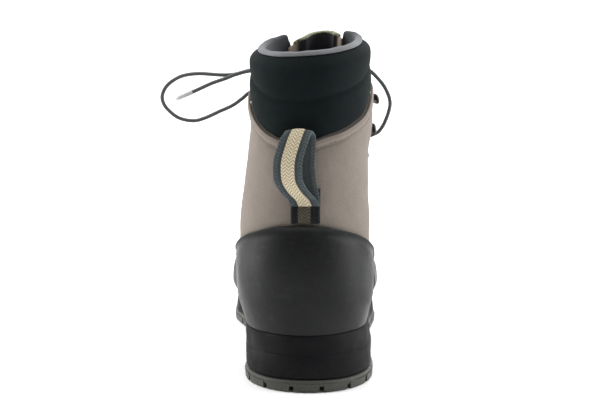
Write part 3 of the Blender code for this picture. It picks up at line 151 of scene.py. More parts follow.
def grid_faces(k):
    """Four-cornered faces between a grid's point numbers."""
    return np.stack([k[:-1, :-1], k[:-1, 1:], k[1:, 1:], k[1:, :-1]], axis=-1).reshape(-1, 4)


def sheet_mesh(front, back):
    """Points, faces and UVs of a closed sheet between two grids of points."""
    rows, columns = front.shape[:2]
    points = np.concatenate([front.reshape(-1, 3), back.reshape(-1, 3)])
    uv = np.concatenate([grid_uv(front).reshape(-1, 2)] * 2)
    k = np.arange(rows * columns).reshape(rows, columns)
    quads = grid_faces(k)
    rim = np.concatenate([k[0, :], k[1:, -1], k[-1, -2::-1], k[-2:0:-1, 0]])
    other = np.roll(rim, -1)
    sides = np.stack([rim, other, other + k.size, rim + k.size], axis=-1)
    return points, np.concatenate([quads, quads + k.size, sides]), uv


def ring_mesh(rings, closed=False):
    """Points, faces and UVs of a closed bar through rings of equally many points."""
    rings = np.asarray(rings, float)
    count, sides = rings.shape[:2]
    k = np.arange(count * sides).reshape(count, sides)
    nxt = np.roll(k, -1, axis=1)
    last = count if closed else count - 1
    faces = []
    for i in range(last):
        j = (i + 1) % count
        faces += np.stack([k[i], nxt[i], nxt[j], k[j]], axis=-1).tolist()
    if not closed:
        faces += [k[0].tolist(), k[-1].tolist()]
    return rings.reshape(-1, 3), faces, grid_uv(rings).reshape(-1, 2)


def several(parts):
    """One mesh made of several: their points, faces and UVs one after another."""
    points, faces, uvs, shift = [], [], [], 0
    for part_points, part_faces, part_uv in parts:
        points.append(part_points)
        uvs.append(part_uv)
        faces += [[k + shift for k in face] for face in part_faces]
        shift += len(part_points)
    return np.concatenate(points), faces, np.concatenate(uvs)


# %% [markdown]
# A cord's rings must not twist, so each ring takes its first direction from the ring before it. This is
# called parallel transport. A braided lace is not quite round: its two sets of strands cross each
# other, and the radius rises a little at each crossing.


# %% Carry rings along a path
def unit(v):
    return v / np.linalg.norm(v, axis=-1, keepdims=True)


def path_frames(path):
    """Directions along a path, and two across it that never twist."""
    path = np.asarray(path, float)
    along = unit(np.gradient(path, axis=0))
    start = np.cross(along[0], [0.0, 0.0, 1.0])
    if np.linalg.norm(start) < 0.1:
        start = np.cross(along[0], [1.0, 0.0, 0.0])
    first = [unit(start)]
    for way in along[1:]:
        before = first[-1]
        first.append(unit(before - way * np.dot(before, way)))
    first = np.array(first)
    return along, first, np.cross(along, first)


def evenly(path, step):
    """The same path with points at equal steps."""
    path = np.asarray(path, float)
    travel = travelled(path)
    stops = np.linspace(0, travel[-1], max(3, round(travel[-1] / step) + 1))
    return np.column_stack([np.interp(stops, travel, path[:, i]) for i in range(3)])


def smooth_through(stops, fine=12):
    """A smooth path through given points."""
    stops = np.asarray(stops, float)
    before = np.vstack([2 * stops[0] - stops[1], stops[:-1]])
    after = np.vstack([stops[1:], 2 * stops[-1] - stops[-2]])
    tangent = (after - before) / 2
    t = np.linspace(0, 1, fine, endpoint=False)[:, None]
    pieces = []
    for k in range(len(stops) - 1):
        start = stops[k] * (1 + 2 * t) * (1 - t) ** 2 + tangent[k] * t * (1 - t) ** 2
        end = stops[k + 1] * t * t * (3 - 2 * t) + tangent[k + 1] * t * t * (t - 1)
        pieces.append(start + end)
    return np.vstack(pieces + [stops[-1:]])


def circles(first, second, turn):
    """A circle of radius 1 at each step of a path, in the plane of two directions."""
    return np.cos(turn)[None, :, None] * first[:, None] + np.sin(turn)[None, :, None] * second[:, None]


BRAID_PITCH = 0.0044
BRAID_RISE = 0.05


def tube_mesh(path, radius, sides=12, braid=0.0):
    """A round tube along a path. braid raises the crossings of its strands by that share."""
    path = np.asarray(path, float)
    along, first, second = path_frames(path)
    travel = travelled(path)
    turn = full_turn(sides)
    radius = np.broadcast_to(radius, len(path))[:, None]
    lay = 2 * math.pi * travel[:, None] / BRAID_PITCH
    strands = np.sin(3 * turn + lay) * np.sin(3 * turn - lay)
    size = radius * (1 + braid * strands)
    points, faces, _ = ring_mesh(path[:, None] + circles(first, second, turn) * size[..., None])
    uv = np.stack(np.broadcast_arrays(CM_PER_M * travel[:, None], turn / (2 * math.pi)), axis=-1)
    return points, faces, uv.reshape(-1, 2)


# %% [markdown]
# ## A recipe for finishes
#
# Every finish here is a Principled material that is built up in layers: a base colour, a few tints laid
# over it by masks, and some relief. The masks are noises and waves that live in the boot's own space or
# on a piece's UV map, so they stay put when the camera moves. A value that is the same all over the
# surface is set on the shader's own socket.


# %% Finishes in layers
class Finish:
    """A Principled material that takes tints and relief one layer at a time."""

    def __init__(self, name, colour, roughness, **sockets):
        self.material = bpy.data.materials.new(name)
        self.material.use_nodes = True
        self.nodes = self.material.node_tree.nodes
        self.links = self.material.node_tree.links
        self.shader = self.nodes["Principled BSDF"]
        self.shader.inputs["Base Color"].default_value = (*colour, 1.0)
        self.shader.inputs["Roughness"].default_value = roughness
        for socket, value in sockets.items():
            self.shader.inputs[socket.replace("_", " ").title().replace("Ior", "IOR")].default_value = value
        self.colour = colour
        self.places = self.nodes.new("ShaderNodeTexCoord")
        self.colour_out = None
        self.relief_out = None

    def put(self, kind, inputs=(), **settings):
        node = self.nodes.new(kind)
        for key, value in settings.items():
            setattr(node, key, value)
        for key, value in dict(inputs).items():
            if isinstance(value, bpy.types.NodeSocket):
                self.links.new(value, node.inputs[key])
            else:
                node.inputs[key].default_value = value
        return node

    def stretched(self, space, stretch=(1, 1, 1)):
        """Coordinates of the boot's space, or of the piece's UV map, stretched along each axis."""
        source = self.places.outputs["UV" if space == "uv" else "Object"]
        if tuple(stretch) == (1, 1, 1):
            return source
        return self.put("ShaderNodeMapping", {"Vector": source, "Scale": stretch}).outputs["Vector"]

    def noise(self, size, detail=3.0, stretch=(1, 1, 1), low=0.35, high=0.65):
        """Blotches of a size in millimetres, from 0 to 1."""
        place = self.stretched("boot", stretch)
        node = self.put("ShaderNodeTexNoise", {"Vector": place, "Scale": 1 / (size * MM), "Detail": detail})
        return self.between(node.outputs["Fac"], low, high)

    def cells(self, size):
        """Rounded grains of a size in millimetres, from 0 between them to 1 on them."""
        place = self.stretched("boot")
        node = self.put("ShaderNodeTexVoronoi", {"Vector": place, "Scale": 1 / (size * MM)})
        return self.between(node.outputs["Distance"], 0.6, 0.0)

    def waves(self, pitch, across="X", space="uv", wobble=0.0, turn=0.0):
        """Ribs at a pitch in millimetres across one direction. UV maps are in centimetres."""
        millimetre = 0.1 if space == "uv" else MM
        source = self.stretched(space)
        if turn:
            spin = self.put("ShaderNodeMapping", {"Vector": source, "Rotation": (0, 0, turn)})
            source = spin.outputs["Vector"]
        node = self.put(
            "ShaderNodeTexWave",
            {
                "Vector": source,
                "Scale": math.pi / 10 / (pitch * millimetre),
                "Distortion": wobble,
                "Detail": 1.0,
                "Detail Scale": 0.5,
            },
            bands_direction=across,
        )
        return node.outputs["Fac"]

    def between(self, value, low, high, start=0.0, end=1.0):
        """Value spread from low..high to start..end, and held there."""
        node = self.put(
            "ShaderNodeMapRange",
            {"Value": value, "From Min": low, "From Max": high, "To Min": start, "To Max": end},
            clamp=True,
        )
        return node.outputs["Result"]

    def times(self, a, b, operation="MULTIPLY"):
        node = self.nodes.new("ShaderNodeMath")
        node.operation = operation
        for k, value in enumerate((a, b)):
            if isinstance(value, bpy.types.NodeSocket):
                self.links.new(value, node.inputs[k])
            else:
                node.inputs[k].default_value = value
        return node.outputs[0]

    def axis(self, name, space="boot"):
        """One coordinate, in metres in the boot's space or in centimetres on the UV map."""
        node = self.put("ShaderNodeSeparateXYZ", {"Vector": self.stretched(space)})
        return node.outputs[name]

    def painted(self, name):
        """A mask kept on the mesh's own points."""
        return self.put("ShaderNodeAttribute", attribute_name=name).outputs["Fac"]

    def tint(self, mask, colour, amount=1.0):
        """Lays a colour over what is there, as strongly as the mask says."""
        mix = self.nodes.new("ShaderNodeMix")
        mix.data_type = "RGBA"
        factor, base, over = mix.inputs["Factor"], mix.inputs[6], mix.inputs[7]
        if amount != 1.0:
            mask = self.times(mask, amount)
        self.links.new(mask, factor)
        if self.colour_out is None:
            base.default_value = (*self.colour, 1.0)
        else:
            self.links.new(self.colour_out, base)
        over.default_value = (*colour, 1.0)
        self.colour_out = mix.outputs[2]
        self.links.new(self.colour_out, self.shader.inputs["Base Color"])
        return self

    def relief(self, height, depth):
        """Raises the surface by depth millimetres where height is 1."""
        bump = self.put("ShaderNodeBump", {"Height": height, "Distance": depth * MM, "Strength": 1.0})
        if self.relief_out is not None:
            self.links.new(self.relief_out, bump.inputs["Normal"])
        self.relief_out = bump.outputs["Normal"]
        self.links.new(self.relief_out, self.shader.inputs["Normal"])
        return self

    def gloss(self, mask, rough, smooth):
        """Roughness from rough where the mask is 0 to smooth where it is 1."""
        self.links.new(self.between(mask, 0.0, 1.0, rough, smooth), self.shader.inputs["Roughness"])
        return self


# %% [markdown]
# ## The lace's finish
#
# The lace is a dark polyester braid. Close up, its strands cross in diamonds, and each one catches a
# little light along its back. The diamonds are two waves that run opposite ways round the cord.


# %% Braid and tip finishes
def lace_finish():
    made = Finish("lace_braid", (0.050, 0.053, 0.056), 0.62, sheen_weight=0.25, sheen_roughness=0.4)
    one = made.waves(1.1, "DIAGONAL", wobble=0.3)
    diamonds = made.times(one, made.noise(0.9, 2.0))
    made.tint(diamonds, (0.115, 0.120, 0.125), 0.8)
    made.tint(made.noise(14, 2.0), (0.035, 0.037, 0.040), 0.5)
    made.relief(one, 0.12)
    return made.material


def tip_finish():
    made = Finish("lace_tip", (0.50, 0.51, 0.52), 0.32, coat_weight=0.4, coat_roughness=0.2)
    made.tint(made.noise(2.5, 3.0), (0.36, 0.37, 0.38), 0.6)
    made.relief(made.noise(1.2, 2.0), 0.05)
    return made.material


LACE = lace_finish()
TIP = tip_finish()

# %% [markdown]
# ## The bow
#
# The bow's loops and ends are free cord, so they come right after the camera. Each one follows points
# read from the photo: the inner loop reaches out past the shaft in a long flat oval, the outer one hangs
# in an arc down to the top hook, one end crosses under the inner loop, and the other falls in front of
# the boot, out of sight. Their lengths are what those routes measure.

# %% Lay the bow's four free lengths
LACE_DIAMETER = 0.0026
BOW_REACH = 0.108
KNOT = np.array([0.00482, 0.07476, 0.19166])
KNOT_SIDE = np.array([1.0, 0.0, 0.0])
KNOT_OUT = np.array([0.0, 0.948, 0.3183])
KNOT_UP = np.array([0.0, -0.3183, 0.948])
BOW_STEP = 0.0007

LOOP_INNER = (
    (-0.045, 0.004, 0.024),
    (-0.150, -0.017, 0.034),
    (-0.290, -0.026, 0.030),
    (-0.429, -0.026, 0.020),
    (-0.531, -0.026, -0.006),
    (-0.619, -0.026, -0.012),
    (-0.768, -0.026, -0.004),
    (-0.877, -0.026, -0.020),
    (-0.962, -0.026, -0.070),
    (-1.001, -0.026, -0.130),
    (-1.002, -0.026, -0.181),
    (-0.972, -0.022, -0.233),
    (-0.900, -0.019, -0.289),
    (-0.806, -0.013, -0.308),
    (-0.727, -0.007, -0.288),
    (-0.641, 0.000, -0.249),
    (-0.555, 0.006, -0.210),
    (-0.490, 0.011, -0.164),
    (-0.439, 0.017, -0.125),
    (-0.315, 0.024, -0.079),
    (-0.167, 0.026, -0.044),
    (-0.045, 0.022, -0.022),
)
LOOP_OUTER = (
    (0.045, 0.011, 0.022),
    (0.130, 0.028, 0.039),
    (0.241, 0.031, 0.037),
    (0.320, 0.030, 0.019),
    (0.373, 0.030, -0.026),
    (0.426, 0.030, -0.092),
    (0.459, 0.030, -0.171),
    (0.456, 0.030, -0.237),
    (0.429, 0.030, -0.316),
    (0.403, 0.031, -0.361),
    (0.378, 0.039, -0.387),
    (0.315, 0.074, -0.412),
    (0.241, 0.106, -0.389),
    (0.167, 0.111, -0.306),
    (0.111, 0.088, -0.194),
    (0.083, 0.056, -0.083),
    (0.045, 0.026, -0.028),
)
END_INNER = (
    (-0.045, -0.020, 0.002),
    (-0.139, -0.051, 0.015),
    (-0.278, -0.063, 0.022),
    (-0.431, -0.063, 0.016),
    (-0.529, -0.063, -0.008),
    (-0.593, -0.063, -0.033),
    (-0.679, -0.063, -0.063),
    (-0.765, -0.063, -0.102),
    (-0.804, -0.063, -0.119),
)
END_OUTER = (
    (-0.010, 0.0255, -0.0370),
    (-0.028, 0.060, -0.102),
    (-0.056, 0.102, -0.204),
    (-0.083, 0.153, -0.315),
    (-0.102, 0.213, -0.426),
    (-0.111, 0.282, -0.528),
    (-0.116, 0.352, -0.611),
    (-0.120, 0.412, -0.676),
)


def free_lace(name, route, node):
    """A free length of lace along a route of shares of BOW_REACH from the knot."""
    path = evenly(smooth_through(np.array(route) * BOW_REACH + KNOT), BOW_STEP)
    piece = link_piece(name, tube_mesh(path, LACE_DIAMETER / 2, braid=BRAID_RISE), LACE)
    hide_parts(node)
    length = float(travelled(path)[-1])
    print(f"{name}: {length * 1000:.0f} mm of lace")
    return piece, path, length


def lace_tip(name, path, node):
    """The moulded tip on a free end: a sleeve with a rounded nose and a small step where it starts."""
    way = unit(path[-1] - path[-6])
    stops = np.array([0.0, 0.3, 0.6, 9.5, 11.5, 12.4, 13.0]) * MM
    radii = np.array([1.45, 1.55, 1.60, 1.50, 1.30, 0.95, 0.45]) * MM
    line = path[-1] + way * stops[:, None]
    piece = link_piece(name, tube_mesh(line, radii, sides=20)[:2], TIP)
    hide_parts(node)
    return piece


loop_inner, inner_path, inner_length = free_lace("bow_loop_inner", LOOP_INNER, "lace_loop_inner")
loop_outer, outer_path, outer_length = free_lace("bow_loop_outer", LOOP_OUTER, "lace_loop_outer")
end_inner, end_inner_path, end_inner_length = free_lace("bow_end_inner", END_INNER, "lace_end_inner")
end_outer, end_outer_path, end_outer_length = free_lace("bow_end_outer", END_OUTER, "lace_end_outer")
tip_inner = lace_tip("bow_tip_inner", end_inner_path, "aglet_inner")
tip_outer = lace_tip("bow_tip_outer", end_outer_path, "aglet_outer")

# %% [markdown]
# ## Studio light and floor
#
# The photo is a plain catalogue picture: a white ground, a soft shadow under the sole, and light from
# large lamps at both sides and above. The sides of the heel are lighter than its middle, so the world's
# own light is low and the two side lamps are strong. The floor bends up into a backdrop with its own
# lamp, so no horizon shows. Neither is part of the boot.

# %% Set up the studio
scene = bpy.context.scene
scene.view_settings.view_transform = "Standard"
world = bpy.data.worlds.new("studio")
world.use_nodes = True
world.node_tree.nodes["Background"].inputs["Color"].default_value = (1.0, 1.0, 1.0, 1.0)
world.node_tree.nodes["Background"].inputs["Strength"].default_value = 0.27
scene.world = world


def lamp(name, place, aim, width, height, power):
    """A soft rectangular lamp that points at a place on the boot."""
    data = bpy.data.lights.new(name, "AREA")
    data.shape = "RECTANGLE"
    data.size, data.size_y = width, height
    data.energy = power
    made = bpy.data.objects.new(name, data)
    made.location = place
    made.rotation_euler = (Vector(aim) - Vector(place)).to_track_quat("-Z", "Y").to_euler()
    scene.collection.objects.link(made)
    return made


lamp("lamp_inner_side", (-0.95, 0.02, 0.40), (0, 0.02, 0.10), 0.7, 0.8, 10.5)
lamp("lamp_outer_side", (0.95, 0.04, 0.40), (0, 0.02, 0.10), 0.7, 0.8, 9.5)
lamp("lamp_above", (0.0, 0.45, 1.60), (0, 0.45, 0.0), 2.2, 2.2, 29.0)
lamp("lamp_backdrop", (0.0, 0.9, 1.9), (0, 2.6, 0.5), 3.0, 1.0, 60.0)

floor_finish = Finish("studio_floor", (0.97, 0.97, 0.97), 0.8, specular_ior_level=0.1)
floor_finish.tint(floor_finish.noise(400, 2.0), (0.96, 0.96, 0.965), 0.5)
bend = 0.5 * math.pi * np.arange(17) / 16
side_view = [(-4.0, 0.0)] + [(1.6 + 1.2 * math.sin(a), 1.2 - 1.2 * math.cos(a)) for a in bend] + [(2.8, 5.0)]
floor_points = [(x, y, z) for y, z in side_view for x in (-6, 6)]
floor_faces = [(k, k + 1, k + 3, k + 2) for k in range(0, 2 * len(side_view) - 2, 2)]
floor_mesh = bpy.data.meshes.new("studio_floor")
floor_mesh.from_pydata(floor_points, [], floor_faces)
floor_mesh.shade_smooth()
floor_mesh.materials.append(floor_finish.material)
floor = bpy.data.objects.new("studio_floor", floor_mesh)
floor.location.z = CAD_BOX[0][2] - 0.0002
scene.collection.objects.link(floor)

# %% [markdown]
# ## The last
#
# A shoe is built over a last, a solid foot shape. The boot's solids were cut from one last that is a
# formula: a foot part and a shaft part, each a rounded section whose sizes change along the boot, melted
# together softly over the instep. The same formula, with the same sizes and tables, gives the finer
# pieces here, so that each lies exactly where its solid does. Distances run from the heel's back edge,
# and the row's origin is HEEL_REST further on.

# %% Sizes of the boot
# Driving sizes of the whole boot
SOLE_LENGTH = 0.312
BALL_WIDTH = 0.108
HEEL_WIDTH = 0.0843
BACK_HEIGHT = 0.206
COLLAR_WIDTH = 0.0745
COLLAR_DEPTH = 0.1065
TOE_BOX_HEIGHT = 0.0655
INSTEP_HEIGHT = 0.115

# Sole
HEEL_REST = 0.050
SOLE_HEIGHT = 0.035
LUG_DEPTH = 0.003
OUTSOLE_BASE = 0.0042
OUTSOLE_PROUD = 0.0006
ARCH_RISE = 0.0065
TOE_SPRING = 0.0155
HEEL_STRIKE = 0.0008
SOLE_EDGE = 0.0044
SOLE_SKEW = 0.0016
MIDSOLE_FLARE = 0.0012
LUG_PITCH = 0.0195
LUG_SPACE = 0.0026
LUG_REACH = 0.015
LUG_PROUD = 0.0005
LUG_DRAFT = 0.0005
INSOLE_THICKNESS = 0.004

# Walls, paddings and clearances
GAP = 0.0003
OVERLAY_GAP = 0.0005
TOE_CAP_GAP = 0.0008
WALL = 0.002
COUNTER_THICKNESS = 0.0020
TOE_CAP_THICKNESS = 0.0018
TOE_CAP_REACH = 0.054
TOE_CAP_SLANT = 0.9
RAND_HEIGHT = 0.028
FACING_THICKNESS = 0.0013
FACING_TOP = OVERLAY_GAP + FACING_THICKNESS
FACING_WIDTH = 0.023
BAND_THICKNESS = 0.0011
BAND_WIDTH = 0.0066
COLLAR_PADDING = 0.0075
COLLAR_PUFF = 0.0013
COLLAR_SEAM_DEPTH = 0.0009
LINING_THICKNESS = 0.0012
LINING_ROLL = 0.0030
LINING_DEPTH = 0.028
COLLAR_ROUNDING = 0.0045
TUCK = 0.0048
BULGE_RISE = 0.010
HEEL_BULGE = 0.012

# Tongue
THROAT_WIDTH = 0.039
TONGUE_THICKNESS = 0.0052
TONGUE_WING = 0.0014
TONGUE_OVERLAP = 0.008
TONGUE_SHOULDER = 0.0062
TONGUE_DRIFT = 0.004
TONGUE_TUCK = (0.15, 0.74)

# Webbing of the backstay and the pull loop
WEBBING_WIDTH = 0.0176
WEBBING_THICKNESS = 0.0015
WEBBING_OFFSET = 0.0028
LOOP_FOOT = 0.116
LOOP_HEIGHT = 0.0475
LOOP_CLEAR = 0.0029
BACKSTAY_OVER = 0.010

# Lacing
LACE_REST = 0.0012
EYELET_OUTER = 0.0090
EYELET_INNER = 0.0046
EYELET_HEIGHT = 0.0009
EYELET_SETBACK = 0.0095
HOOK_SETBACK = 0.0135
HOOK_WIDTH = 0.0070
HOOK_LENGTH = 0.0120
HOOK_HEIGHT = 0.0080
HOOK_METAL = 0.0010

# Turn of the throat towards the outer side, and the collar's rise towards it
THROAT_TURN = 0.056
COLLAR_TILT = 0.055
THROAT_LEVEL = 0.50

# Spans over which one shape passes into the next. WAIST, HEEL_SPAN and ARCH_BARE (which has no edge
# lugs): shares of SOLE_LENGTH. SHAFT_BEND and SHAFT_NARROW: shares of BACK_HEIGHT. COLLAR_SPAN: levels.
WAIST = (0.25, 0.55)
HEEL_SPAN = (0.20, 0.45)
ARCH_BARE = (0.285, 0.40)
SHAFT_BEND = (0.28, 0.85)
SHAFT_NARROW = (0.35, 0.80)
COLLAR_SPAN = (0.70, 0.95)

# Shares of HEEL_WIDTH: the softness of the melt between foot and shaft, how far to the side it fades,
# and the least and greatest inset of the last's core from its ends. SHAFT_MIDDLE: of COLLAR_DEPTH.
MELT = 0.14
MELT_REACH = 0.45
CORE_INSET = 0.48
CORE_LEAST = 0.05
SHAFT_MIDDLE = 0.6

# How square the shaft's section is at the heel, and how much squarer it gets at the collar.
SHAFT_SQUARE = 2.1
COLLAR_SQUARE = 0.25

# Share of the melt's softness that the sides of the foot lose, and the level up to which the upper's
# rows follow the feather edge.
MELT_FADE = 0.75
LEVEL_BLEND = 0.30

# Middle blocks of the tread. TREAD_STEP, TREAD_GAP and TREAD_LENGTH: shares of LUG_PITCH.
# TREAD_START: share of SOLE_LENGTH.
TREAD_STEP = 0.95
TREAD_GAP = 1.02
TREAD_LENGTH = 0.36
TREAD_START = 0.46

# %% Tables of the last
def table(columns, *rows):
    """A small table as a dictionary of its named columns."""
    return {name: np.array(values) for name, values in zip(columns.split(), zip(*rows))}


# The last seen from above. along: share of SOLE_LENGTH from the heel's back.
# centre and half: shares of BALL_WIDTH, of the sole's middle line and half width before its round ends.
# arch: how square a cross-section is, from 1.6, a peaked instep, to 2.4, a full toe box.
PLAN = table(
    "along centre half arch",
    (0.00, 0.000, 0.382, 2.10),
    (0.12, 0.000, 0.382, 1.90),
    (0.28, 0.004, 0.376, 1.75),
    (0.40, 0.002, 0.370, 1.70),
    (0.49, -0.012, 0.388, 1.70),
    (0.57, -0.040, 0.438, 1.78),
    (0.65, -0.064, 0.484, 2.00),
    (0.76, -0.080, 0.480, 2.25),
    (0.88, -0.100, 0.445, 2.40),
    (1.00, -0.124, 0.415, 2.40),
)
HEEL_ROUND = 0.20
HEEL_END = 0.30
TOE_ROUND = 0.285

# Heights along the sole. tread: share of the rise named beside it. feather: share of SOLE_HEIGHT,
# the line where the upper meets the midsole.
TREAD = table(
    "along strike arch toe",
    (0.00, 1.0, 0.0, 0.0),
    (0.04, 0.0, 0.0, 0.0),
    (0.27, 0.0, 0.0, 0.0),
    (0.31, 0.0, 1.0, 0.0),
    (0.37, 0.0, 1.0, 0.0),
    (0.42, 0.0, 0.0, 0.0),
    (0.70, 0.0, 0.0, 0.0),
    (0.85, 0.0, 0.0, 0.28),
    (1.00, 0.0, 0.0, 1.0),
)
FEATHER = table(
    "along height",
    (0.00, 1.015),
    (0.12, 1.000),
    (0.30, 0.930),
    (0.45, 0.785),
    (0.62, 0.630),
    (0.75, 0.615),
    (0.88, 0.700),
    (1.00, 0.890),
)

# Top line of the foot part, before the toe's round end. toe: share of TOE_BOX_HEIGHT.
# instep: share of INSTEP_HEIGHT. A row's height is the sum of the two.
RIDGE = table(
    "along toe instep",
    (0.000, 0.000, 1.530),
    (0.385, 0.000, 1.530),
    (0.410, 0.000, 1.391),
    (0.442, 0.000, 1.235),
    (0.474, 0.000, 1.113),
    (0.513, 0.000, 1.000),
    (0.561, 0.200, 0.777),
    (0.609, 0.450, 0.544),
    (0.657, 0.650, 0.356),
    (0.705, 0.820, 0.202),
    (0.769, 0.940, 0.078),
    (0.840, 1.000, 0.000),
    (0.913, 0.950, 0.000),
    (1.000, 0.890, 0.000),
)

# The heel and shaft as level sections. height: share of BACK_HEIGHT. back: share of SOLE_LENGTH.
# depth: share of COLLAR_DEPTH. half: share of the width there, which passes from HEEL_WIDTH at the
# bottom to COLLAR_WIDTH at the top. back_round and front_round: shares of the depth.
SHAFT = table(
    "height back depth half back_round front_round",
    (0.165, 0.0125, 1.080, 0.4280, 0.385, 0.560),
    (0.220, 0.0088, 1.135, 0.4640, 0.368, 0.560),
    (0.272, 0.0068, 1.190, 0.4930, 0.355, 0.560),
    (0.340, 0.0078, 1.240, 0.4990, 0.350, 0.580),
    (0.420, 0.0150, 1.285, 0.5000, 0.352, 0.615),
    (0.500, 0.0290, 1.290, 0.5120, 0.365, 0.620),
    (0.583, 0.0400, 1.225, 0.5120, 0.390, 0.560),
    (0.680, 0.0449, 1.145, 0.5120, 0.420, 0.500),
    (0.752, 0.0437, 1.094, 0.5220, 0.440, 0.470),
    (0.801, 0.0395, 1.073, 0.5240, 0.450, 0.470),
    (0.888, 0.0326, 1.042, 0.5060, 0.460, 0.500),
    (0.971, 0.0296, 1.018, 0.5000, 0.460, 0.560),
    (1.120, 0.0310, 0.985, 0.5000, 0.460, 0.560),
)

# Sideways lean of the heel and shaft off the sole's middle line, share of COLLAR_WIDTH.
LEAN = table(
    "height lean",
    (0.160, -0.014),
    (0.320, -0.026),
    (0.500, -0.032),
    (0.680, -0.010),
    (0.800, 0.026),
    (0.900, 0.022),
    (1.120, 0.018),
)

# Levels round the last, from the feather edge (0) to the collar's top (1). back and front: heights at
# the heel and at the front, as shares of BACK_HEIGHT. reach: where the front lies, share of SOLE_LENGTH.
LEVELS = table(
    "level back front reach",
    (0.0000, 0.170, 0.150, 0.980),
    (0.0625, 0.204, 0.184, 0.982),
    (0.1250, 0.243, 0.223, 0.978),
    (0.1875, 0.282, 0.262, 0.962),
    (0.2500, 0.325, 0.291, 0.923),
    (0.3125, 0.374, 0.311, 0.859),
    (0.3750, 0.422, 0.335, 0.785),
    (0.4375, 0.471, 0.367, 0.721),
    (0.5000, 0.519, 0.403, 0.663),
    (0.5625, 0.573, 0.442, 0.619),
    (0.6250, 0.626, 0.490, 0.571),
    (0.6875, 0.684, 0.551, 0.522),
    (0.7500, 0.743, 0.621, 0.481),
    (0.8125, 0.801, 0.704, 0.446),
    (0.8750, 0.864, 0.811, 0.413),
    (0.9375, 0.930, 0.930, 0.385),
    (1.0000, 1.000, 1.060, 0.372),
    (1.0625, 1.070, 1.133, 0.369),
)

# Half width of the throat, share of THROAT_WIDTH, from its bottom up to the collar's top.
THROAT = table(
    "level half",
    (0.500, 0.000),
    (0.520, 0.150),
    (0.560, 0.235),
    (0.625, 0.320),
    (0.700, 0.400),
    (0.780, 0.480),
    (0.850, 0.530),
    (0.910, 0.540),
    (0.960, 0.525),
    (0.985, 0.535),
    (1.000, 0.570),
    (1.063, 0.610),
)

# Lower edge of the collar on each side, and upper edge of the heel counter, from the back (0) to the
# throat's edge or the front (1). inner, outer and height: shares of BACK_HEIGHT.
COLLAR_LINE = table(
    "round inner outer",
    (0.00, 0.748, 0.748),
    (0.06, 0.750, 0.756),
    (0.12, 0.755, 0.768),
    (0.20, 0.770, 0.782),
    (0.27, 0.792, 0.800),
    (0.35, 0.826, 0.822),
    (0.47, 0.876, 0.862),
    (0.60, 0.905, 0.893),
    (0.80, 0.930, 0.925),
    (1.00, 0.950, 0.950),
)
COUNTER_LINE = table(
    "round height",
    (0.00, 0.503),
    (0.10, 0.498),
    (0.20, 0.473),
    (0.25, 0.449),
    (0.29, 0.415),
    (0.33, 0.370),
    (0.36, 0.320),
    (0.385, 0.250),
)

# The tongue's top edge. across: share of its half width, negative on the inner side.
# rise: metres that the edge stands over the tongue's shoulders.
TONGUE_TOP = table(
    "across rise",
    (-1.00, 0.0008),
    (-0.75, 0.0032),
    (-0.50, 0.0042),
    (-0.25, 0.0049),
    (0.00, 0.0053),
    (0.25, 0.0049),
    (0.50, 0.0045),
    (0.75, 0.0042),
    (1.00, 0.0028),
)

# Heights of the lace's fixings, as shares of BACK_HEIGHT: eyelets below and hooks above.
EYELET_HEIGHTS = (0.440, 0.483, 0.530, 0.580)
HOOK_HEIGHTS = (0.640, 0.735, 0.830)

# The pull loop's path, from its outer foot over its top to its inner foot. side: millimetres towards
# the inner side of the foot. out: millimetres behind the boot's back. rise: share of LOOP_HEIGHT.
PULL_LOOP = table(
    "side out rise",
    (0.0, 5.4, 0.00),
    (1.6, 5.8, 0.08),
    (6.4, 9.4, 0.20),
    (10.4, 14.2, 0.38),
    (10.9, 16.2, 0.58),
    (9.4, 15.4, 0.80),
    (7.5, 12.4, 0.95),
    (6.2, 9.4, 1.00),
    (4.8, 6.6, 0.94),
    (4.0, 4.9, 0.78),
    (3.4, 3.9, 0.55),
    (1.8, 3.3, 0.28),
    (0.0, 3.1, 0.10),
    (0.0, 3.1, 0.00),
)


# %% [markdown]
# A table gives a handful of stations, and a smooth curve runs through them. The curve keeps to the
# values on either side of each span, so a level stretch stays level.

# %% Curves through the tables
def curve_through(keys, values):
    """A smooth curve through a table's points that never swings past them."""
    steps = np.diff(keys)
    slopes = np.diff(values) / steps
    tangents = np.concatenate([slopes[:1], np.zeros(len(keys) - 2), slopes[-1:]])
    same_way = slopes[:-1] * slopes[1:] > 0
    total = np.where(same_way, slopes[:-1] + slopes[1:], 1.0)
    tangents[1:-1] = np.where(same_way, 2 * slopes[:-1] * slopes[1:] / total, 0.0)

    def value(at):
        at = np.clip(at, keys[0], keys[-1])
        k = np.clip(np.searchsorted(keys, at) - 1, 0, len(keys) - 2)
        t = (at - keys[k]) / steps[k]
        start = values[k] * (1 + 2 * t) * (1 - t) ** 2 + tangents[k] * steps[k] * t * (1 - t) ** 2
        end = values[k + 1] * t * t * (3 - 2 * t) + tangents[k + 1] * steps[k] * t * t * (t - 1)
        return start + end

    return value


def curves(rows):
    """The smooth curve of each column of a table after its first, which they run along."""
    keys, *columns = rows.values()
    return [curve_through(keys, values) for values in columns]


plan_centre, plan_half, plan_arch = curves(PLAN)
tread_strike, tread_arch, tread_toe = curves(TREAD)
(feather_height,) = curves(FEATHER)
ridge_toe, ridge_instep = curves(RIDGE)
shaft_back, shaft_depth, shaft_half, shaft_back_round, shaft_front_round = curves(SHAFT)
(shaft_lean,) = curves(LEAN)
level_back, level_front, level_reach = curves(LEVELS)
(throat_half,) = curves(THROAT)
(tongue_rise,) = curves(TONGUE_TOP)
collar_line_inner, collar_line_outer = curves(COLLAR_LINE)
(counter_line,) = curves(COUNTER_LINE)


def tread(y):
    """Height of the ground face of the lugs at distance y from the heel's back."""
    along = y / SOLE_LENGTH
    return HEEL_STRIKE * tread_strike(along) + ARCH_RISE * tread_arch(along) + TOE_SPRING * tread_toe(along)


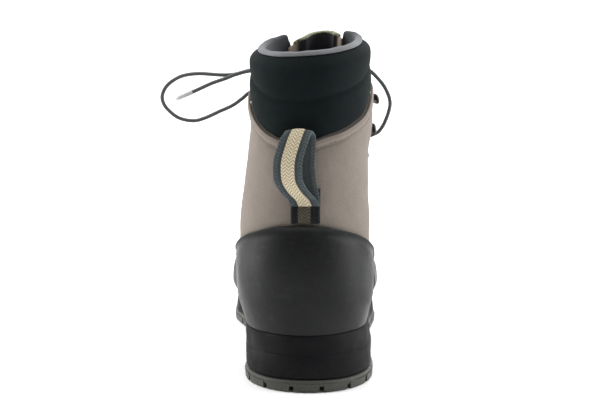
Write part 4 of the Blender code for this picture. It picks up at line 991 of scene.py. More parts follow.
def feather(y):
    """Height of the line where the upper meets the midsole."""
    return SOLE_HEIGHT * feather_height(y / SOLE_LENGTH)

# %% [markdown]
# The last itself is a function of a place: negative inside and positive outside. Its surface is found by
# halving: from a line inside the boot a ray goes out, and 27 halvings pin down where it leaves.

# %% The last as a formula
def ramp(x, low, high):
    """Rises smoothly from 0 at low to 1 at high."""
    t = np.clip((x - low) / (high - low), 0, 1)
    return t * t * (3 - 2 * t)


def axis(y, z):
    """Sideways place of the last's middle line, which bends in at the toe and leans out at the collar."""
    foot = BALL_WIDTH * plan_centre(y / SOLE_LENGTH)
    rise = ramp(z / BACK_HEIGHT, *SHAFT_BEND)
    turn = THROAT_TURN * (y - SHAFT_MIDDLE * COLLAR_DEPTH)
    rear = 1 - ramp(y / SOLE_LENGTH, *WAIST) * (1 - rise)
    return foot * (1 - rise) + turn * rise + COLLAR_WIDTH * shaft_lean(z / BACK_HEIGHT) * rear


def foot_form(x, y, z):
    """Negative inside the foot part of the last, at sideways distance x from its middle line."""
    along = y / SOLE_LENGTH
    low = feather(y)
    rise = BULGE_RISE + HEEL_BULGE * (1 - ramp(along, *HEEL_SPAN))
    bulge = low + rise
    top = TOE_BOX_HEIGHT * ridge_toe(along) + INSTEP_HEIGHT * ridge_instep(along)
    tuck = TUCK * np.clip((bulge - z) / rise, 0, 1) ** 2
    half = BALL_WIDTH * plan_half(along) - SOLE_EDGE + TUCK - tuck
    square = plan_arch(along)
    toe_round = TOE_ROUND * SOLE_LENGTH
    tip = SOLE_LENGTH - SOLE_EDGE + 0.5 * (TUCK - tuck)
    toe = np.clip((y - tip + toe_round) / toe_round, 0, None)
    heel_round = HEEL_ROUND * SOLE_LENGTH
    heel = np.clip((HEEL_END * SOLE_LENGTH - y) / heel_round, 0, None)
    up = np.clip((z - bulge) / (top - bulge), 0, None)
    total = np.abs(x / half) ** square + up**square + toe**square + heel**square
    return (total ** (1 / square) - 1) * 0.5 * HEEL_WIDTH


def shaft_form(x, y, z):
    """Negative inside the heel and shaft of the last."""
    height = z / BACK_HEIGHT
    mix = ramp(height, *SHAFT_NARROW)
    half = shaft_half(height) * (HEEL_WIDTH * (1 - mix) + COLLAR_WIDTH * mix)
    back = shaft_back(height) * SOLE_LENGTH
    depth = shaft_depth(height) * COLLAR_DEPTH
    back_round = shaft_back_round(height) * depth
    front_round = shaft_front_round(height) * depth
    rear = np.clip((back + back_round - y) / back_round, 0, None)
    fore = np.clip((y - back - depth + front_round) / front_round, 0, None)
    square = SHAFT_SQUARE + COLLAR_SQUARE * mix
    total = np.abs(x / half) ** square + rear**square + fore**square
    return (total ** (1 / square) - 1) * 0.5 * HEEL_WIDTH


def form(x, y, z):
    """The whole last: foot and shaft melted together, with the softest melt over the instep."""
    a = foot_form(x, y, z)
    b = shaft_form(x, y, z)
    aside = np.clip(np.abs(x) / (MELT_REACH * HEEL_WIDTH), 0, 1)
    soft = MELT * HEEL_WIDTH * (1 - MELT_FADE * aside)
    h = np.clip(0.5 + 0.5 * (b - a) / soft, 0, 1)
    return b * (1 - h) + a * h - soft * h * (1 - h)


def ring_height(v, x, y):
    """Height of level v at distance y from the heel's back and x from the middle line."""
    reach = level_reach(v) * SOLE_LENGTH
    back = level_back(v) * BACK_HEIGHT
    front = level_front(v) * BACK_HEIGHT
    plane = back + (front - back) * y / reach
    along_feather = feather(y) + back - level_back(0.0) * BACK_HEIGHT
    share = ramp(v, 0.0, LEVEL_BLEND)
    return along_feather * (1 - share) + plane * share + COLLAR_TILT * x * ramp(v, *COLLAR_SPAN)


HALVINGS = 27


def straight_point(u, v):
    """A point of the last before its middle line is bent. u runs once round from the heel's back (0)
    by the outer side (0.25) and the front (0.5), v from the feather edge (0) to the collar's top (1)."""
    u, v = np.broadcast_arrays(np.asarray(u, float), np.asarray(v, float))
    angle = 2 * math.pi * u
    front = level_reach(v) * SOLE_LENGTH
    back = shaft_back(level_back(v)) * SOLE_LENGTH
    core = np.maximum((front - back) / 2 - CORE_INSET * HEEL_WIDTH, CORE_LEAST * HEEL_WIDTH)
    start = (front + back) / 2 - core * np.cos(angle)
    low = np.zeros(u.shape)
    high = np.full(u.shape, BALL_WIDTH)
    for _ in range(HALVINGS):
        r = (low + high) / 2
        x = r * np.sin(angle)
        y = start - r * np.cos(angle)
        outside = form(x, y, ring_height(v, x, y)) > 0
        high = np.where(outside, r, high)
        low = np.where(outside, low, r)
    x = low * np.sin(angle)
    y = start - low * np.cos(angle)
    return x, y, ring_height(v, x, y)


def last_point(u, v):
    """A point of the last's surface, measured from the heel's back."""
    x, y, z = straight_point(u, v)
    return np.stack([x + axis(y, z), y, z], axis=-1)


NEAR = 0.002


def last_normal(u, v):
    """The direction straight out of the last's surface."""
    v = np.asarray(v, float)
    round_it = last_point(u + NEAR, v) - last_point(u - NEAR, v)
    up = last_point(u, v + NEAR) - last_point(u, np.maximum(v - NEAR, 0))
    return unit(np.cross(round_it, up))

# %% [markdown]
# Panels use two coordinates. v is the level, from the feather edge, where the upper meets the sole, up to
# the collar's rim. p is the column: 0 at the back, 1 and -1 at the throat's two edges, or at the front
# where the vamp is closed. Negative columns are on the inner side of the foot.

# %% Columns and levels
def make_edge_table(levels, wanted):
    """How far round the last a sideways distance from the front lies, at a row of levels."""
    rounds = np.linspace(0.5, 0.25, 50)
    side = straight_point(rounds[None, :], levels[:, None])[0]
    return np.array([np.interp(wanted(v), row, rounds) for v, row in zip(levels, side)])


TOP_LEVEL = LEVELS["level"][-1]
LOW_LEVELS = np.linspace(THROAT_LEVEL, 0.56, 16)
HIGH_LEVELS = np.linspace(0.58, TOP_LEVEL, 32)
THROAT_LEVELS = np.concatenate([[0.0], LOW_LEVELS, HIGH_LEVELS])
THROAT_ROUNDS = make_edge_table(THROAT_LEVELS, lambda v: THROAT_WIDTH * throat_half(v))


def round_at(p, v):
    """How far round the last column p lies: 0 at the back, 1 and -1 at the throat's two edges, or at
    the front where the upper is closed."""
    edge = np.interp(v, THROAT_LEVELS, THROAT_ROUNDS)
    return p * np.where(v > THROAT_LEVEL, edge, 0.5)


def level_where(p, measure, wanted):
    """The level at which a growing measure of the last's points reaches a wanted value in column p."""
    p = np.atleast_1d(p)
    levels = np.linspace(0.0, TOP_LEVEL, 90)
    grid = last_point(round_at(p[:, None], levels[None, :]), levels[None, :])
    return np.array([np.interp(w, row, levels) for w, row in zip(np.atleast_1d(wanted), measure(grid))])


def level_at(p, height):
    """The level at which column p reaches a height above the ground."""
    return level_where(p, lambda grid: grid[..., 2], height)


def collar_line(p):
    """Height of the collar's lower edge in column p, which is negative on the inner side."""
    return BACK_HEIGHT * np.where(p < 0, collar_line_inner(np.abs(p)), collar_line_outer(np.abs(p)))

# %% [markdown]
# ## Helpers for panels
#
# Real panels have worn, rounded borders and stitches beside them. These helpers give any panel both: one
# thins a panel's thickness towards its border, and one sews a row of short raised threads along a line.


# %% Panels with rounded borders, and stitches
def surface(p, v):
    """Places on the last under a grid of columns and levels, and the directions out of it."""
    p, v = np.broadcast_arrays(np.asarray(p, float), np.asarray(v, float))
    u = round_at(p, v)
    return last_point(u, v), last_normal(u, v)


def in_row_frame(points):
    """The same points measured from the row's origin."""
    return np.asarray(points) - np.array([0.0, HEEL_REST, 0.0])


def crowded(count, near=(0.0, 0.004, 0.012, 0.026)):
    """Shares from 0 to 1 that crowd together near both ends."""
    near = np.array(near)
    return np.unique(np.concatenate([near, np.linspace(0.045, 0.955, count), 1 - near]))


def border_share(grid, radius, least=0.25, sides="btlr"):
    """1 in the middle of a grid of points, less near its bottom, top, left and right borders, as if they
    were rounded at a radius."""
    up = np.concatenate([[0], np.cumsum(np.linalg.norm(np.diff(grid, axis=0), axis=2).mean(axis=1))])
    steps = np.linalg.norm(np.diff(grid, axis=1), axis=2)
    over = np.concatenate([np.zeros((len(grid), 1)), np.cumsum(steps, axis=1)], axis=1)
    far = np.full(grid.shape[:2], 1.0)
    runs = {
        "b": up[:, None] + 0 * over,
        "t": (up[-1] - up)[:, None] + 0 * over,
        "l": over,
        "r": over[:, -1:] - over,
    }
    for side in sides:
        share = np.clip(runs[side] / radius, 0, 1)
        far = np.minimum(far, np.sqrt(np.clip(1 - (1 - share) ** 2, 0, 1)))
    return least + (1 - least) * far


def paint(piece, name, values):
    """Keeps a mask on the piece's points, for its finish to read."""
    layer = piece.data.attributes.new(name, "FLOAT", "POINT")
    layer.data.foreach_set("value", np.asarray(values, dtype=np.float32).ravel())


def stands_for(piece, node):
    """The piece takes the place of a solid, which is hidden."""
    for one in [node] if isinstance(node, str) else node:
        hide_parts(one)
    return piece


def stitch_row(places, outs, length=2.3, space=0.9, thick=0.5):
    """Short raised threads along a line of places, in millimetres: the parts of one mesh."""
    places, outs = np.asarray(places, float), np.asarray(outs, float)
    travel = travelled(places)
    pitch = (length + space) * MM
    count = max(1, int(travel[-1] / pitch))
    shape = np.array(
        [(-0.5, -0.35, 0.45), (-0.36, 0.16, 0.9), (0.0, 0.30, 1.0), (0.36, 0.16, 0.9), (0.5, -0.35, 0.45)]
    )
    turn = full_turn(6)
    parts = []
    for k in range(count):
        middle = (k + 0.5) * travel[-1] / count
        stops = middle + shape[:, 0] * length * MM
        line = np.column_stack([np.interp(stops, travel, places[:, i]) for i in range(3)])
        out = np.column_stack([np.interp(stops, travel, outs[:, i]) for i in range(3)])
        line = line + out * (shape[:, 1:2] * thick * MM)
        along = unit(np.gradient(line, axis=0))
        side = unit(np.cross(along, out))
        over = np.cross(side, along)
        size = (0.5 * thick * MM * shape[:, 2])[:, None, None]
        parts.append(ring_mesh(line[:, None] + circles(side, over, turn) * size))
    return parts


def sew(name, rows, finish):
    """One piece of all the stitches in several rows."""
    parts = [part for row in rows for part in row]
    piece = link_piece(name, several(parts)[:2], finish)
    print(f"{name}: {len(parts)} stitches")
    return piece


# %% [markdown]
# ## Finishes of the boot
#
# The quarters are a taupe synthetic leather with a fine nap. The heel cup and the toe rand are moulded
# rubber, satin and a little dusty, so their sides pick up a bluish light. The midsole is matt black foam.
# The collar is black neoprene, whose knitted face shows only as a fine tooth.


# %% Taupe, rubber, foam and knit
def taupe_finish(name, colour, nap):
    made = Finish(name, colour, 0.80, sheen_weight=0.06, specular_ior_level=0.25)
    lighter = tuple(min(1.0, c * 1.22) for c in colour)
    darker = tuple(c * 0.72 for c in colour)
    made.tint(made.noise(26, 4.0, low=0.3, high=0.7), lighter, 0.35)
    made.tint(made.noise(9, 5.0, low=0.42, high=0.75), darker, 0.28)
    made.tint(made.noise(1.3, 3.0, low=0.45, high=0.7), darker, 0.22)
    made.relief(made.noise(0.75, 4.0), nap)
    made.relief(made.noise(11, 3.0), 0.22)
    return made


def rubber_finish(name, colour, dust):
    made = Finish(name, colour, 0.45, specular_ior_level=0.18)
    made.tint(made.noise(34, 4.0, low=0.35, high=0.75), dust, 0.30)
    made.tint(made.noise(3.2, 5.0, low=0.52, high=0.72), dust, 0.22)
    scuffs = made.noise(7, 6.0, stretch=(0.25, 1.0, 1.0), low=0.60, high=0.70)
    made.tint(scuffs, tuple(min(1, c * 1.9) for c in dust), 0.16)
    made.relief(made.noise(0.9, 3.0), 0.05)
    made.relief(made.noise(14, 2.0), 0.10)
    made.gloss(made.noise(22, 4.0), 0.52, 0.38)
    return made


def foam_finish():
    made = Finish("foam_black", (0.0034, 0.0034, 0.0041), 0.60, specular_ior_level=0.10)
    made.tint(made.noise(20, 4.0), (0.0058, 0.0058, 0.0070), 0.6)
    made.tint(made.noise(0.8, 2.0, low=0.55, high=0.7), (0.011, 0.011, 0.013), 0.4)
    made.relief(made.cells(0.9), 0.06)
    made.gloss(made.noise(16, 3.0), 0.70, 0.52)
    return made


def knit_finish(name, colour, light, rib, depth, sheen=0.08):
    """A fine knit: wales along one way of the cut, broken up by its loops."""
    made = Finish(name, colour, 0.9, sheen_weight=sheen, sheen_roughness=0.45, specular_ior_level=0.1)
    wales = made.waves(rib, "X", wobble=0.6)
    courses = made.waves(rib * 1.3, "Y", wobble=0.6)
    loops = made.times(wales, courses)
    made.tint(loops, light, 0.55)
    made.tint(made.noise(18, 3.0), tuple(c * 0.7 for c in colour), 0.5)
    made.relief(loops, depth)
    made.relief(made.noise(8, 3.0), 0.15)
    return made


TAUPE_COLOUR = (0.188, 0.160, 0.135)
TAUPE_FACING = taupe_finish("facing_taupe", (0.180, 0.153, 0.130), 0.16)
RUBBER = rubber_finish("cup_rubber", (0.0062, 0.0066, 0.0068), (0.019, 0.020, 0.0205))
OUTSOLE_RUBBER = rubber_finish("tread_rubber", (0.052, 0.053, 0.047), (0.100, 0.099, 0.087))
FOAM = foam_finish()
NEOPRENE = knit_finish(
    "collar_neoprene", (0.0050, 0.0084, 0.0094), (0.0085, 0.0128, 0.0142), rib=0.55, depth=0.05, sheen=0.02
)
LINING = knit_finish("lining_knit", (0.190, 0.196, 0.206), (0.300, 0.306, 0.320), 0.8, 0.14)
THREAD = Finish("thread_taupe", (0.27, 0.235, 0.200), 0.7, specular_ior_level=0.2)
THREAD.tint(THREAD.noise(2.0, 2.0), (0.17, 0.148, 0.128), 0.6).relief(THREAD.waves(0.5, "X", "boot"), 0.04)
DARK_THREAD = Finish("thread_black", (0.010, 0.012, 0.013), 0.8, specular_ior_level=0.1)
DARK_THREAD.tint(DARK_THREAD.noise(2.0, 2.0), (0.018, 0.020, 0.021), 0.6)
DARK_THREAD.relief(DARK_THREAD.waves(0.5, "X", "boot"), 0.04)
print("finishes made:", len(bpy.data.materials))

# %% [markdown]
# ## Midsole
#
# The midsole is a foam wedge, thicker under the heel. Moulds part along a line, so a shallow groove and a
# small step run round its side, and its edges are eased. It is built as rings round the foot, and its
# flat top and bottom are closed across.


# %% Rings round the sole
SOLE_COLUMNS = 280
SOLE_U = np.arange(SOLE_COLUMNS) / SOLE_COLUMNS
SOLE_STEP = 0.002


def sole_edge(u, grow, skew):
    """Plan places at distance grow outside the upper's lower edge, moved outwards by skew at the heel."""
    zero = np.zeros(len(u))
    edge = last_point(u, zero)[:, :2]
    along = unit((last_point(u + SOLE_STEP, zero) - last_point(u - SOLE_STEP, zero))[:, :2])
    spot = edge + np.stack([along[:, 1], -along[:, 0]], axis=1) * grow
    spot[:, 0] += skew * (1 - ramp(edge[:, 1] / SOLE_LENGTH, *WAIST))
    return edge, spot


SOLE_FOOT = sole_edge(SOLE_U, 0.0, 0.0)[0]
SOLE_AFTER, SOLE_BEFORE = (last_point(SOLE_U + step, 0 * SOLE_U) for step in (SOLE_STEP, -SOLE_STEP))
SOLE_ALONG = unit((SOLE_AFTER - SOLE_BEFORE)[:, :2])
SOLE_SHIFT = 1 - ramp(SOLE_FOOT[:, 1] / SOLE_LENGTH, *WAIST)


def sole_ring(grow, height, skew=0.0):
    spot = SOLE_FOOT + np.stack([SOLE_ALONG[:, 1], -SOLE_ALONG[:, 0]], axis=1) * grow
    spot[:, 0] += skew * SOLE_SHIFT
    return np.column_stack([spot, height(SOLE_FOOT[:, 1])])


def sole_stack(rings):
    """Points, faces and UVs of a body through rings round the foot, closed across at both ends."""
    rings = np.array([in_row_frame(ring) for ring in rings])
    count = rings.shape[1]
    points, faces, uv = ring_mesh(rings)
    faces = faces[:-2]
    for base in (0, (len(rings) - 1) * count):
        for j in range(count // 2):
            across = [j, j + 1, count - j - 1, (count - j) % count]
            faces.append([base + k for k in dict.fromkeys(across)])
    return points, faces, uv


def outsole_top(y):
    return tread(y) + LUG_DEPTH + OUTSOLE_BASE


def midsole_height(share):
    return lambda y: outsole_top(y) + GAP + (feather(y) - outsole_top(y) - GAP) * share


top = SOLE_EDGE - MIDSOLE_FLARE
step = SOLE_EDGE - 0.5 * MIDSOLE_FLARE
MIDSOLE_SIDE = (
    (0.000, SOLE_EDGE - 0.0012),
    (0.008, SOLE_EDGE - 0.0007),
    (0.030, SOLE_EDGE - 0.0002),
    (0.060, SOLE_EDGE),
    (0.300, SOLE_EDGE - 0.0002),
    (0.490, step + 0.0001),
    (0.515, step - 0.0001),
    (0.530, step - 0.0004),
    (0.545, step - 0.0005),
    (0.560, step - 0.0004),
    (0.575, step - 0.0001),
    (0.600, step - 0.0003),
    (0.800, top + 0.0002),
    (0.930, top),
    (0.970, top - 0.0002),
    (0.990, top - 0.0005),
    (1.000, top - 0.0009),
)
rings = [sole_ring(grow, midsole_height(share), SOLE_SKEW * (1 - share)) for share, grow in MIDSOLE_SIDE]
midsole = link_piece("midsole_foam", sole_stack(rings), FOAM.material, 0.9)
stands_for(midsole, "midsole")
print("midsole:", len(midsole.data.vertices), "points")

# %% [markdown]
# ## Outsole
#
# The outsole is a grey rubber sheet with lugs: blocks round its edge, pointed blocks down the middle of
# the heel and forefoot, and a bare arch. A rubber mould has no sharp corners, so each block's edges are
# bevelled. The lugs' outlines are the ones that the solid has.


# %% Outsole sheet and lugs
edge = SOLE_EDGE + OUTSOLE_PROUD
OUTSOLE_SIDE = (
    (-0.0010, lambda y: tread(y) + LUG_DEPTH),
    (-0.0003, lambda y: tread(y) + LUG_DEPTH + 0.05 * OUTSOLE_BASE),
    (0.0000, lambda y: tread(y) + LUG_DEPTH + 0.25 * OUTSOLE_BASE),
    (0.0000, lambda y: outsole_top(y) - 0.30 * OUTSOLE_BASE),
    (-0.0002, lambda y: outsole_top(y) - 0.12 * OUTSOLE_BASE),
    (-0.0008, lambda y: outsole_top(y) - 0.02 * OUTSOLE_BASE),
    (-0.0014, outsole_top),
)
base_rings = [sole_ring(edge + grow, height, SOLE_SKEW) for grow, height in OUTSOLE_SIDE]


def edge_lugs():
    """Plan outlines of the lugs round the sole's edge, with none along the arch."""
    u = np.linspace(-0.5, 0.5, 721)
    rim_line = sole_edge(u, SOLE_EDGE + OUTSOLE_PROUD + LUG_PROUD, SOLE_SKEW)[1]
    inner = sole_edge(u, SOLE_EDGE - LUG_REACH, SOLE_SKEW)[1]
    travel = travelled(rim_line)
    travel -= np.interp(0.0, u, travel)
    half = int(travel[-1] / LUG_PITCH)
    outlines = []
    for k in range(-half, half + 1):
        middle = k * LUG_PITCH
        stops = middle + (LUG_PITCH - LUG_SPACE) * np.array([-0.5, -0.25, 0.0, 0.25, 0.5])
        if abs(stops).max() > travel[-1]:
            continue
        rim = np.column_stack([np.interp(stops, travel, rim_line[:, i]) for i in (0, 1)])
        back = np.column_stack([np.interp(stops[::-2], travel, inner[:, i]) for i in (0, 1)])
        back = back * 0.94 + back.mean(axis=0) * 0.06
        share = rim[:, 1] / SOLE_LENGTH
        if share.max() < ARCH_BARE[0] or share.min() > ARCH_BARE[1]:
            outlines.append(np.concatenate([rim, back]))
    return outlines


def middle_lugs():
    """Plan outlines of the blocks down the middle of the heel and forefoot."""
    outlines = []
    wide = 0.5 * (LUG_PITCH - LUG_SPACE)
    long = TREAD_LENGTH * LUG_PITCH
    rows = [(HEEL_REST + k * TREAD_STEP * LUG_PITCH, 1) for k in (-1, 0, 1)]
    first = TREAD_START * SOLE_LENGTH
    rows += [(first + k * TREAD_STEP * LUG_PITCH, 3 if 1 < k < 5 else 2) for k in range(7)]
    for y, across in rows:
        centre = BALL_WIDTH * plan_centre(y / SOLE_LENGTH)
        for k in range(across):
            x = centre + (k - (across - 1) / 2) * TREAD_GAP * LUG_PITCH
            corners = [(-1, -1), (0, -0.55), (1, -1), (1, 1), (0, 1.45), (-1, 1)]
            if y == HEEL_REST:
                corners = [(-1, -1), (1, -1), (1, 1), (-1, 1)]
                x = 0.0
            outlines.append(np.array([(x + a * wide * 0.92, y + b * long) for a, b in corners]))
    return outlines


LUG_BEVEL = 0.0005


def lug(outline):
    """One lug with bevelled edges and a shallow slot across its ground face."""
    middle = outline.mean(axis=0)
    away = outline - middle
    inset = middle + away * (1 - LUG_DRAFT / np.linalg.norm(away, axis=1, keepdims=True))
    foot = np.column_stack([inset, tread(inset[:, 1])])
    head = np.column_stack([outline, tread(outline[:, 1]) + LUG_DEPTH + 0.4 * OUTSOLE_BASE])
    work = bmesh.new()
    low = [work.verts.new(p) for p in in_row_frame(foot)]
    high = [work.verts.new(p) for p in in_row_frame(head)]
    work.faces.new(low)
    work.faces.new(high[::-1])
    count = len(outline)
    for j in range(count):
        k = (j + 1) % count
        work.faces.new([low[j], high[j], high[k], low[k]])
    sharp = [e for e in work.edges if e.calc_face_angle(0.0) > 0.6]
    bmesh.ops.bevel(work, geom=sharp, offset=LUG_BEVEL, segments=2, profile=0.6, affect="EDGES")
    work.verts.index_update()
    points = np.array([v.co[:] for v in work.verts])
    faces = [[v.index for v in f.verts] for f in work.faces]
    work.free()
    return points, faces, points[:, :2] * CM_PER_M


lugs = [lug(outline) for outline in edge_lugs() + middle_lugs()]
outsole = link_piece("outsole_tread", several([sole_stack(base_rings), *lugs])[:2], OUTSOLE_RUBBER.material)
stands_for(outsole, "outsole")
print("outsole:", len(lugs), "lugs")

# %% [markdown]
# ## Insole
#
# The footbed is a foam sheet with a fabric face. It lies flat on the midsole, with a slightly raised
# border and a shallow cup for the heel.

# %% Footbed
edge = -(WALL + 3 * GAP)
BED = (
    (0.0000, 0.0),
    (0.0000, 0.6),
    (-0.0004, 0.9),
    (-0.0015, 1.0),
    (-0.0040, 0.96),
    (-0.0090, 0.84),
    (-0.0160, 0.78),
)
bed_rings = [
    sole_ring(edge + grow, lambda y, h=h: feather(y) + GAP + INSOLE_THICKNESS * h) for grow, h in BED
]
FOOTBED = knit_finish("footbed_knit", (0.030, 0.031, 0.036), (0.065, 0.066, 0.072), 0.9, 0.08)
insole = link_piece("footbed", sole_stack(bed_rings), FOOTBED.material)
stands_for(insole, "insole")
print("footbed box:", [round(c, 3) for c in insole.dimensions])

# %% [markdown]
# ## Creases
#
# A boot bends in two places, across the ball and round the ankle, and even a new one keeps soft folds
# there from being taken off its last. Each crease is a line on the last with a depth and a width in
# millimetres, and every panel that lies over it sinks along it, with a low swelling at both sides.

# %% Lines of the creases
def vamp_line(y_share, reach):
    """A line across the vamp at a distance from the heel, out to column 1 - reach on both sides."""
    p = np.concatenate([np.linspace(1 - reach, 1, 12), np.linspace(-1, -1 + reach, 12)])
    v = level_where(p, lambda grid: -grid[..., 1], np.full(len(p), -y_share * SOLE_LENGTH))
    return last_point(round_at(p, v), v)


def side_line(p0, v0, p1, v1):
    """A line on one side, between two places given as columns and levels."""
    t = np.linspace(0, 1, 16)
    p, v = p0 + (p1 - p0) * t, v0 + (v1 - v0) * t
    return last_point(round_at(p, v), v)


CREASES = [
    (vamp_line(0.665, 0.24), 0.9, 5.0),
    (vamp_line(0.705, 0.19), 0.7, 4.5),
    (vamp_line(0.630, 0.17), 0.6, 5.0),
    (side_line(0.93, 0.60, 0.52, 0.53), 0.8, 5.5),
    (side_line(-0.93, 0.60, -0.52, 0.53), 0.8, 5.5),
    (side_line(0.90, 0.66, 0.46, 0.62), 0.5, 5.0),
    (side_line(-0.90, 0.66, -0.46, 0.62), 0.5, 5.0),
    (side_line(0.10, 0.690, 0.36, 0.668), 0.45, 5.0),
    (side_line(-0.12, 0.640, -0.38, 0.622), 0.35, 6.0),
    (side_line(0.16, 0.610, 0.44, 0.590), 0.35, 6.0),
]


def crease_depth(place):
    """How far the surface moves out along the creases, in metres, mostly inwards."""
    flat = place.reshape(-1, 3)
    moved = np.zeros(len(flat))
    for line, depth, width in CREASES:
        start, run = line[:-1], np.diff(line, axis=0)
        length = (run**2).sum(axis=1)
        near = np.full(len(flat), 9.0)
        along = np.zeros(len(flat))
        for k in range(len(run)):
            t = np.clip(((flat - start[k]) @ run[k]) / length[k], 0, 1)
            gap = np.linalg.norm(flat - (start[k] + t[:, None] * run[k]), axis=1)
            closer = gap < near
            near = np.where(closer, gap, near)
            along = np.where(closer, (k + t) / len(run), along)
        fade = np.clip(np.minimum(along, 1 - along) / 0.25, 0, 1)
        x = near / (width * MM)
        moved += MM * depth * (0.35 + 0.65 * fade) * (0.45 * np.exp(-((x - 1.9) ** 2)) - np.exp(-(x**2)))
    return moved.reshape(place.shape[:-1])


print("creases:", len(CREASES))

# %% [markdown]
# ## Upper
#
# The upper is one shell, 2 mm thick, from the feather edge to the collar line. Its rows close up in
# front below the throat and open beside it, so it is built in one grid whose left and right edges are
# welded where the vamp is closed. The inside gets a mask that turns it into the dark lining.


# %% Upper shell
UPPER_COLUMNS = np.linspace(-1, 1, 201)


def open_levels(columns, shares):
    """Rows beside the throat, which close up to the collar's lower edge."""
    highest = level_at(columns, collar_line(columns))
    return THROAT_LEVEL + (highest - THROAT_LEVEL)[None, :] * shares[:, None]


closed_rows = THROAT_LEVEL * np.concatenate([[0.0, 0.02, 0.05], np.linspace(0.09, 1.0, 60)])
open_rows = np.concatenate([[0.012, 0.03], np.linspace(0.06, 0.985, 64), [0.994, 1.0]])
v = np.concatenate([closed_rows[:, None] + 0 * UPPER_COLUMNS, open_levels(UPPER_COLUMNS, open_rows)])
p = np.broadcast_to(UPPER_COLUMNS, v.shape)
place, out = surface(p, v)
moved = crease_depth(place)
split = len(closed_rows) - 1
ripple = 0.10 * MM * np.sin(place[..., 2] / 0.019 + 3 * np.sin(place[..., 0] / 0.02)) * ramp(v, 0.25, 0.5)
front = place + out * (moved + ripple)[..., None]
back = place + out * (np.minimum(moved, 0) - WALL)[..., None]
for grid in (front, back):
    floor_line = feather(grid[..., 1]) + GAP
    grid[..., 2] = np.maximum(grid[..., 2], floor_line)
    grid[0, :, 2] = floor_line[0]


def weld_front(front, back, split):
    """The shell's points, faces and UVs, welded down the front for the rows up to split, then which of
    its points lie inside, and which points of the two grids it keeps."""
    rows, columns = front.shape[:2]
    points = in_row_frame(np.concatenate([front.reshape(-1, 3), back.reshape(-1, 3)]))
    uv = np.concatenate([grid_uv(front).reshape(-1, 2)] * 2)
    k = np.arange(rows * columns).reshape(rows, columns)
    k[: split + 1, -1] = k[: split + 1, 0]
    quads = grid_faces(k)
    faces = [quads, quads + rows * columns]
    for line in (k[0, :], k[-1, :], k[split:, 0], k[split:, -1]):
        low, high = line[:-1], line[1:]
        faces.append(np.stack([low, high, high + rows * columns, low + rows * columns], axis=-1))
    faces = np.concatenate(faces)
    used, faces = np.unique(faces, return_inverse=True)
    return (points[used], faces.reshape(-1, 4), uv[used]), used >= rows * columns, used


line = collar_line(UPPER_COLUMNS) - BAND_WIDTH
under_band = (line[None, :] - place[..., 2]) / MM
over_cup = (place[..., 2] - BACK_HEIGHT * counter_line(np.abs(p))) / MM
# Painted shade: a dark line just under the topline band, and a fainter one just above the heel cup's top
# edge, where those parts shade the upper.
painted_seam_shade = np.exp(-((np.clip(under_band + 0.5, 0, None) / 1.3) ** 2)) * (under_band > -3)
painted_seam_shade += 0.5 * np.exp(-((np.clip(over_cup, 0, None) / 1.6) ** 2)) * (np.abs(p) < COUNTER_LINE["round"][-1])
shell, is_inside, kept = weld_front(front, back, split)
inner_lining = (0.030, 0.031, 0.036)
UPPER_FINISH = taupe_finish("upper_taupe", TAUPE_COLOUR, 0.16)
# Painted shade in dark brown along the topline band's lower edge and the heel cup's top edge.
UPPER_FINISH.tint(UPPER_FINISH.painted("painted_seam_shade"), (0.070, 0.060, 0.052), 0.8)
UPPER_FINISH.tint(UPPER_FINISH.painted("inside"), inner_lining)
upper = link_piece("upper_shell", shell, UPPER_FINISH.material, 1.0)
paint(upper, "inside", is_inside)
paint(upper, "painted_seam_shade", np.tile(np.clip(painted_seam_shade, 0, 1).ravel(), 2)[kept])
stands_for(upper, "upper")
print("upper:", len(upper.data.polygons), "faces")

# %% [markdown]
# ## Heel cup and toe rand
#
# Both are moulded rubber, bonded over the upper. The heel cup has a line raised along its top edge, with
# a slightly sunk band below it. The toe piece runs back past the ball as a low rand. Both are panels over
# the same columns as the upper, so they keep clear of it all over.


# %% Moulded overlays
def overlay(name, columns, low, high, rows, base, height, finish, radius, rim, sides="btlr", least=0.3):
    """A closed panel over the last between two levels for each column. base is its inner face's distance
    from the last, and height its thickness, which eases off towards its borders. rim adds relief."""
    v = low[None, :] + (high - low)[None, :] * rows[:, None]
    p = np.broadcast_to(columns[None, :], v.shape)
    place, out = surface(p, v)
    moved = crease_depth(place)
    thick = height * border_share(place, radius * MM, least, sides) + rim(place, rows)
    front = place + out * (base + thick + moved)[..., None]
    back = place + out * (base + np.minimum(moved, 0))[..., None]
    for grid in (front, back):
        grid[..., 2] = np.maximum(grid[..., 2], feather(grid[..., 1]) + GAP)
    piece = link_piece(name, sheet_mesh(in_row_frame(front), in_row_frame(back)), finish, 1.0)
    return piece, front, out


def raised_line(place, rows):
    """A raised line 2 mm below a moulded edge, and a shallow sunk band under it."""
    up = np.cumsum(np.linalg.norm(np.diff(place, axis=0, prepend=place[:1]), axis=2), axis=0)
    drop = (up[-1] - up) / MM
    line = 0.85 * np.exp(-(((drop - 1.4) / 0.85) ** 2))
    band = 0.50 * np.exp(-(((drop - 5.0) / 2.4) ** 2))
    return MM * (line - band) * np.clip(rows / 0.1, 0, 1)[:, None]


cup_end = COUNTER_LINE["round"][-1]
columns = cup_end * (2 * crowded(140, (0.0, 0.002, 0.006, 0.014)) - 1)
cup_top = level_at(columns, BACK_HEIGHT * counter_line(np.abs(columns)))
cup_rows = np.concatenate([np.linspace(0, 0.80, 46), np.linspace(0.81, 0.97, 26), [0.980, 0.988, 0.995, 1.0]])
MOULDED = {"finish": RUBBER.material, "radius": 1.0, "sides": "tlr", "rim": raised_line}
heel_cup, cup_front, _ = overlay(
    "heel_cup", columns, 0 * cup_top, cup_top, cup_rows, OVERLAY_GAP, COUNTER_THICKNESS, **MOULDED
)
stands_for(heel_cup, "heel_counter")


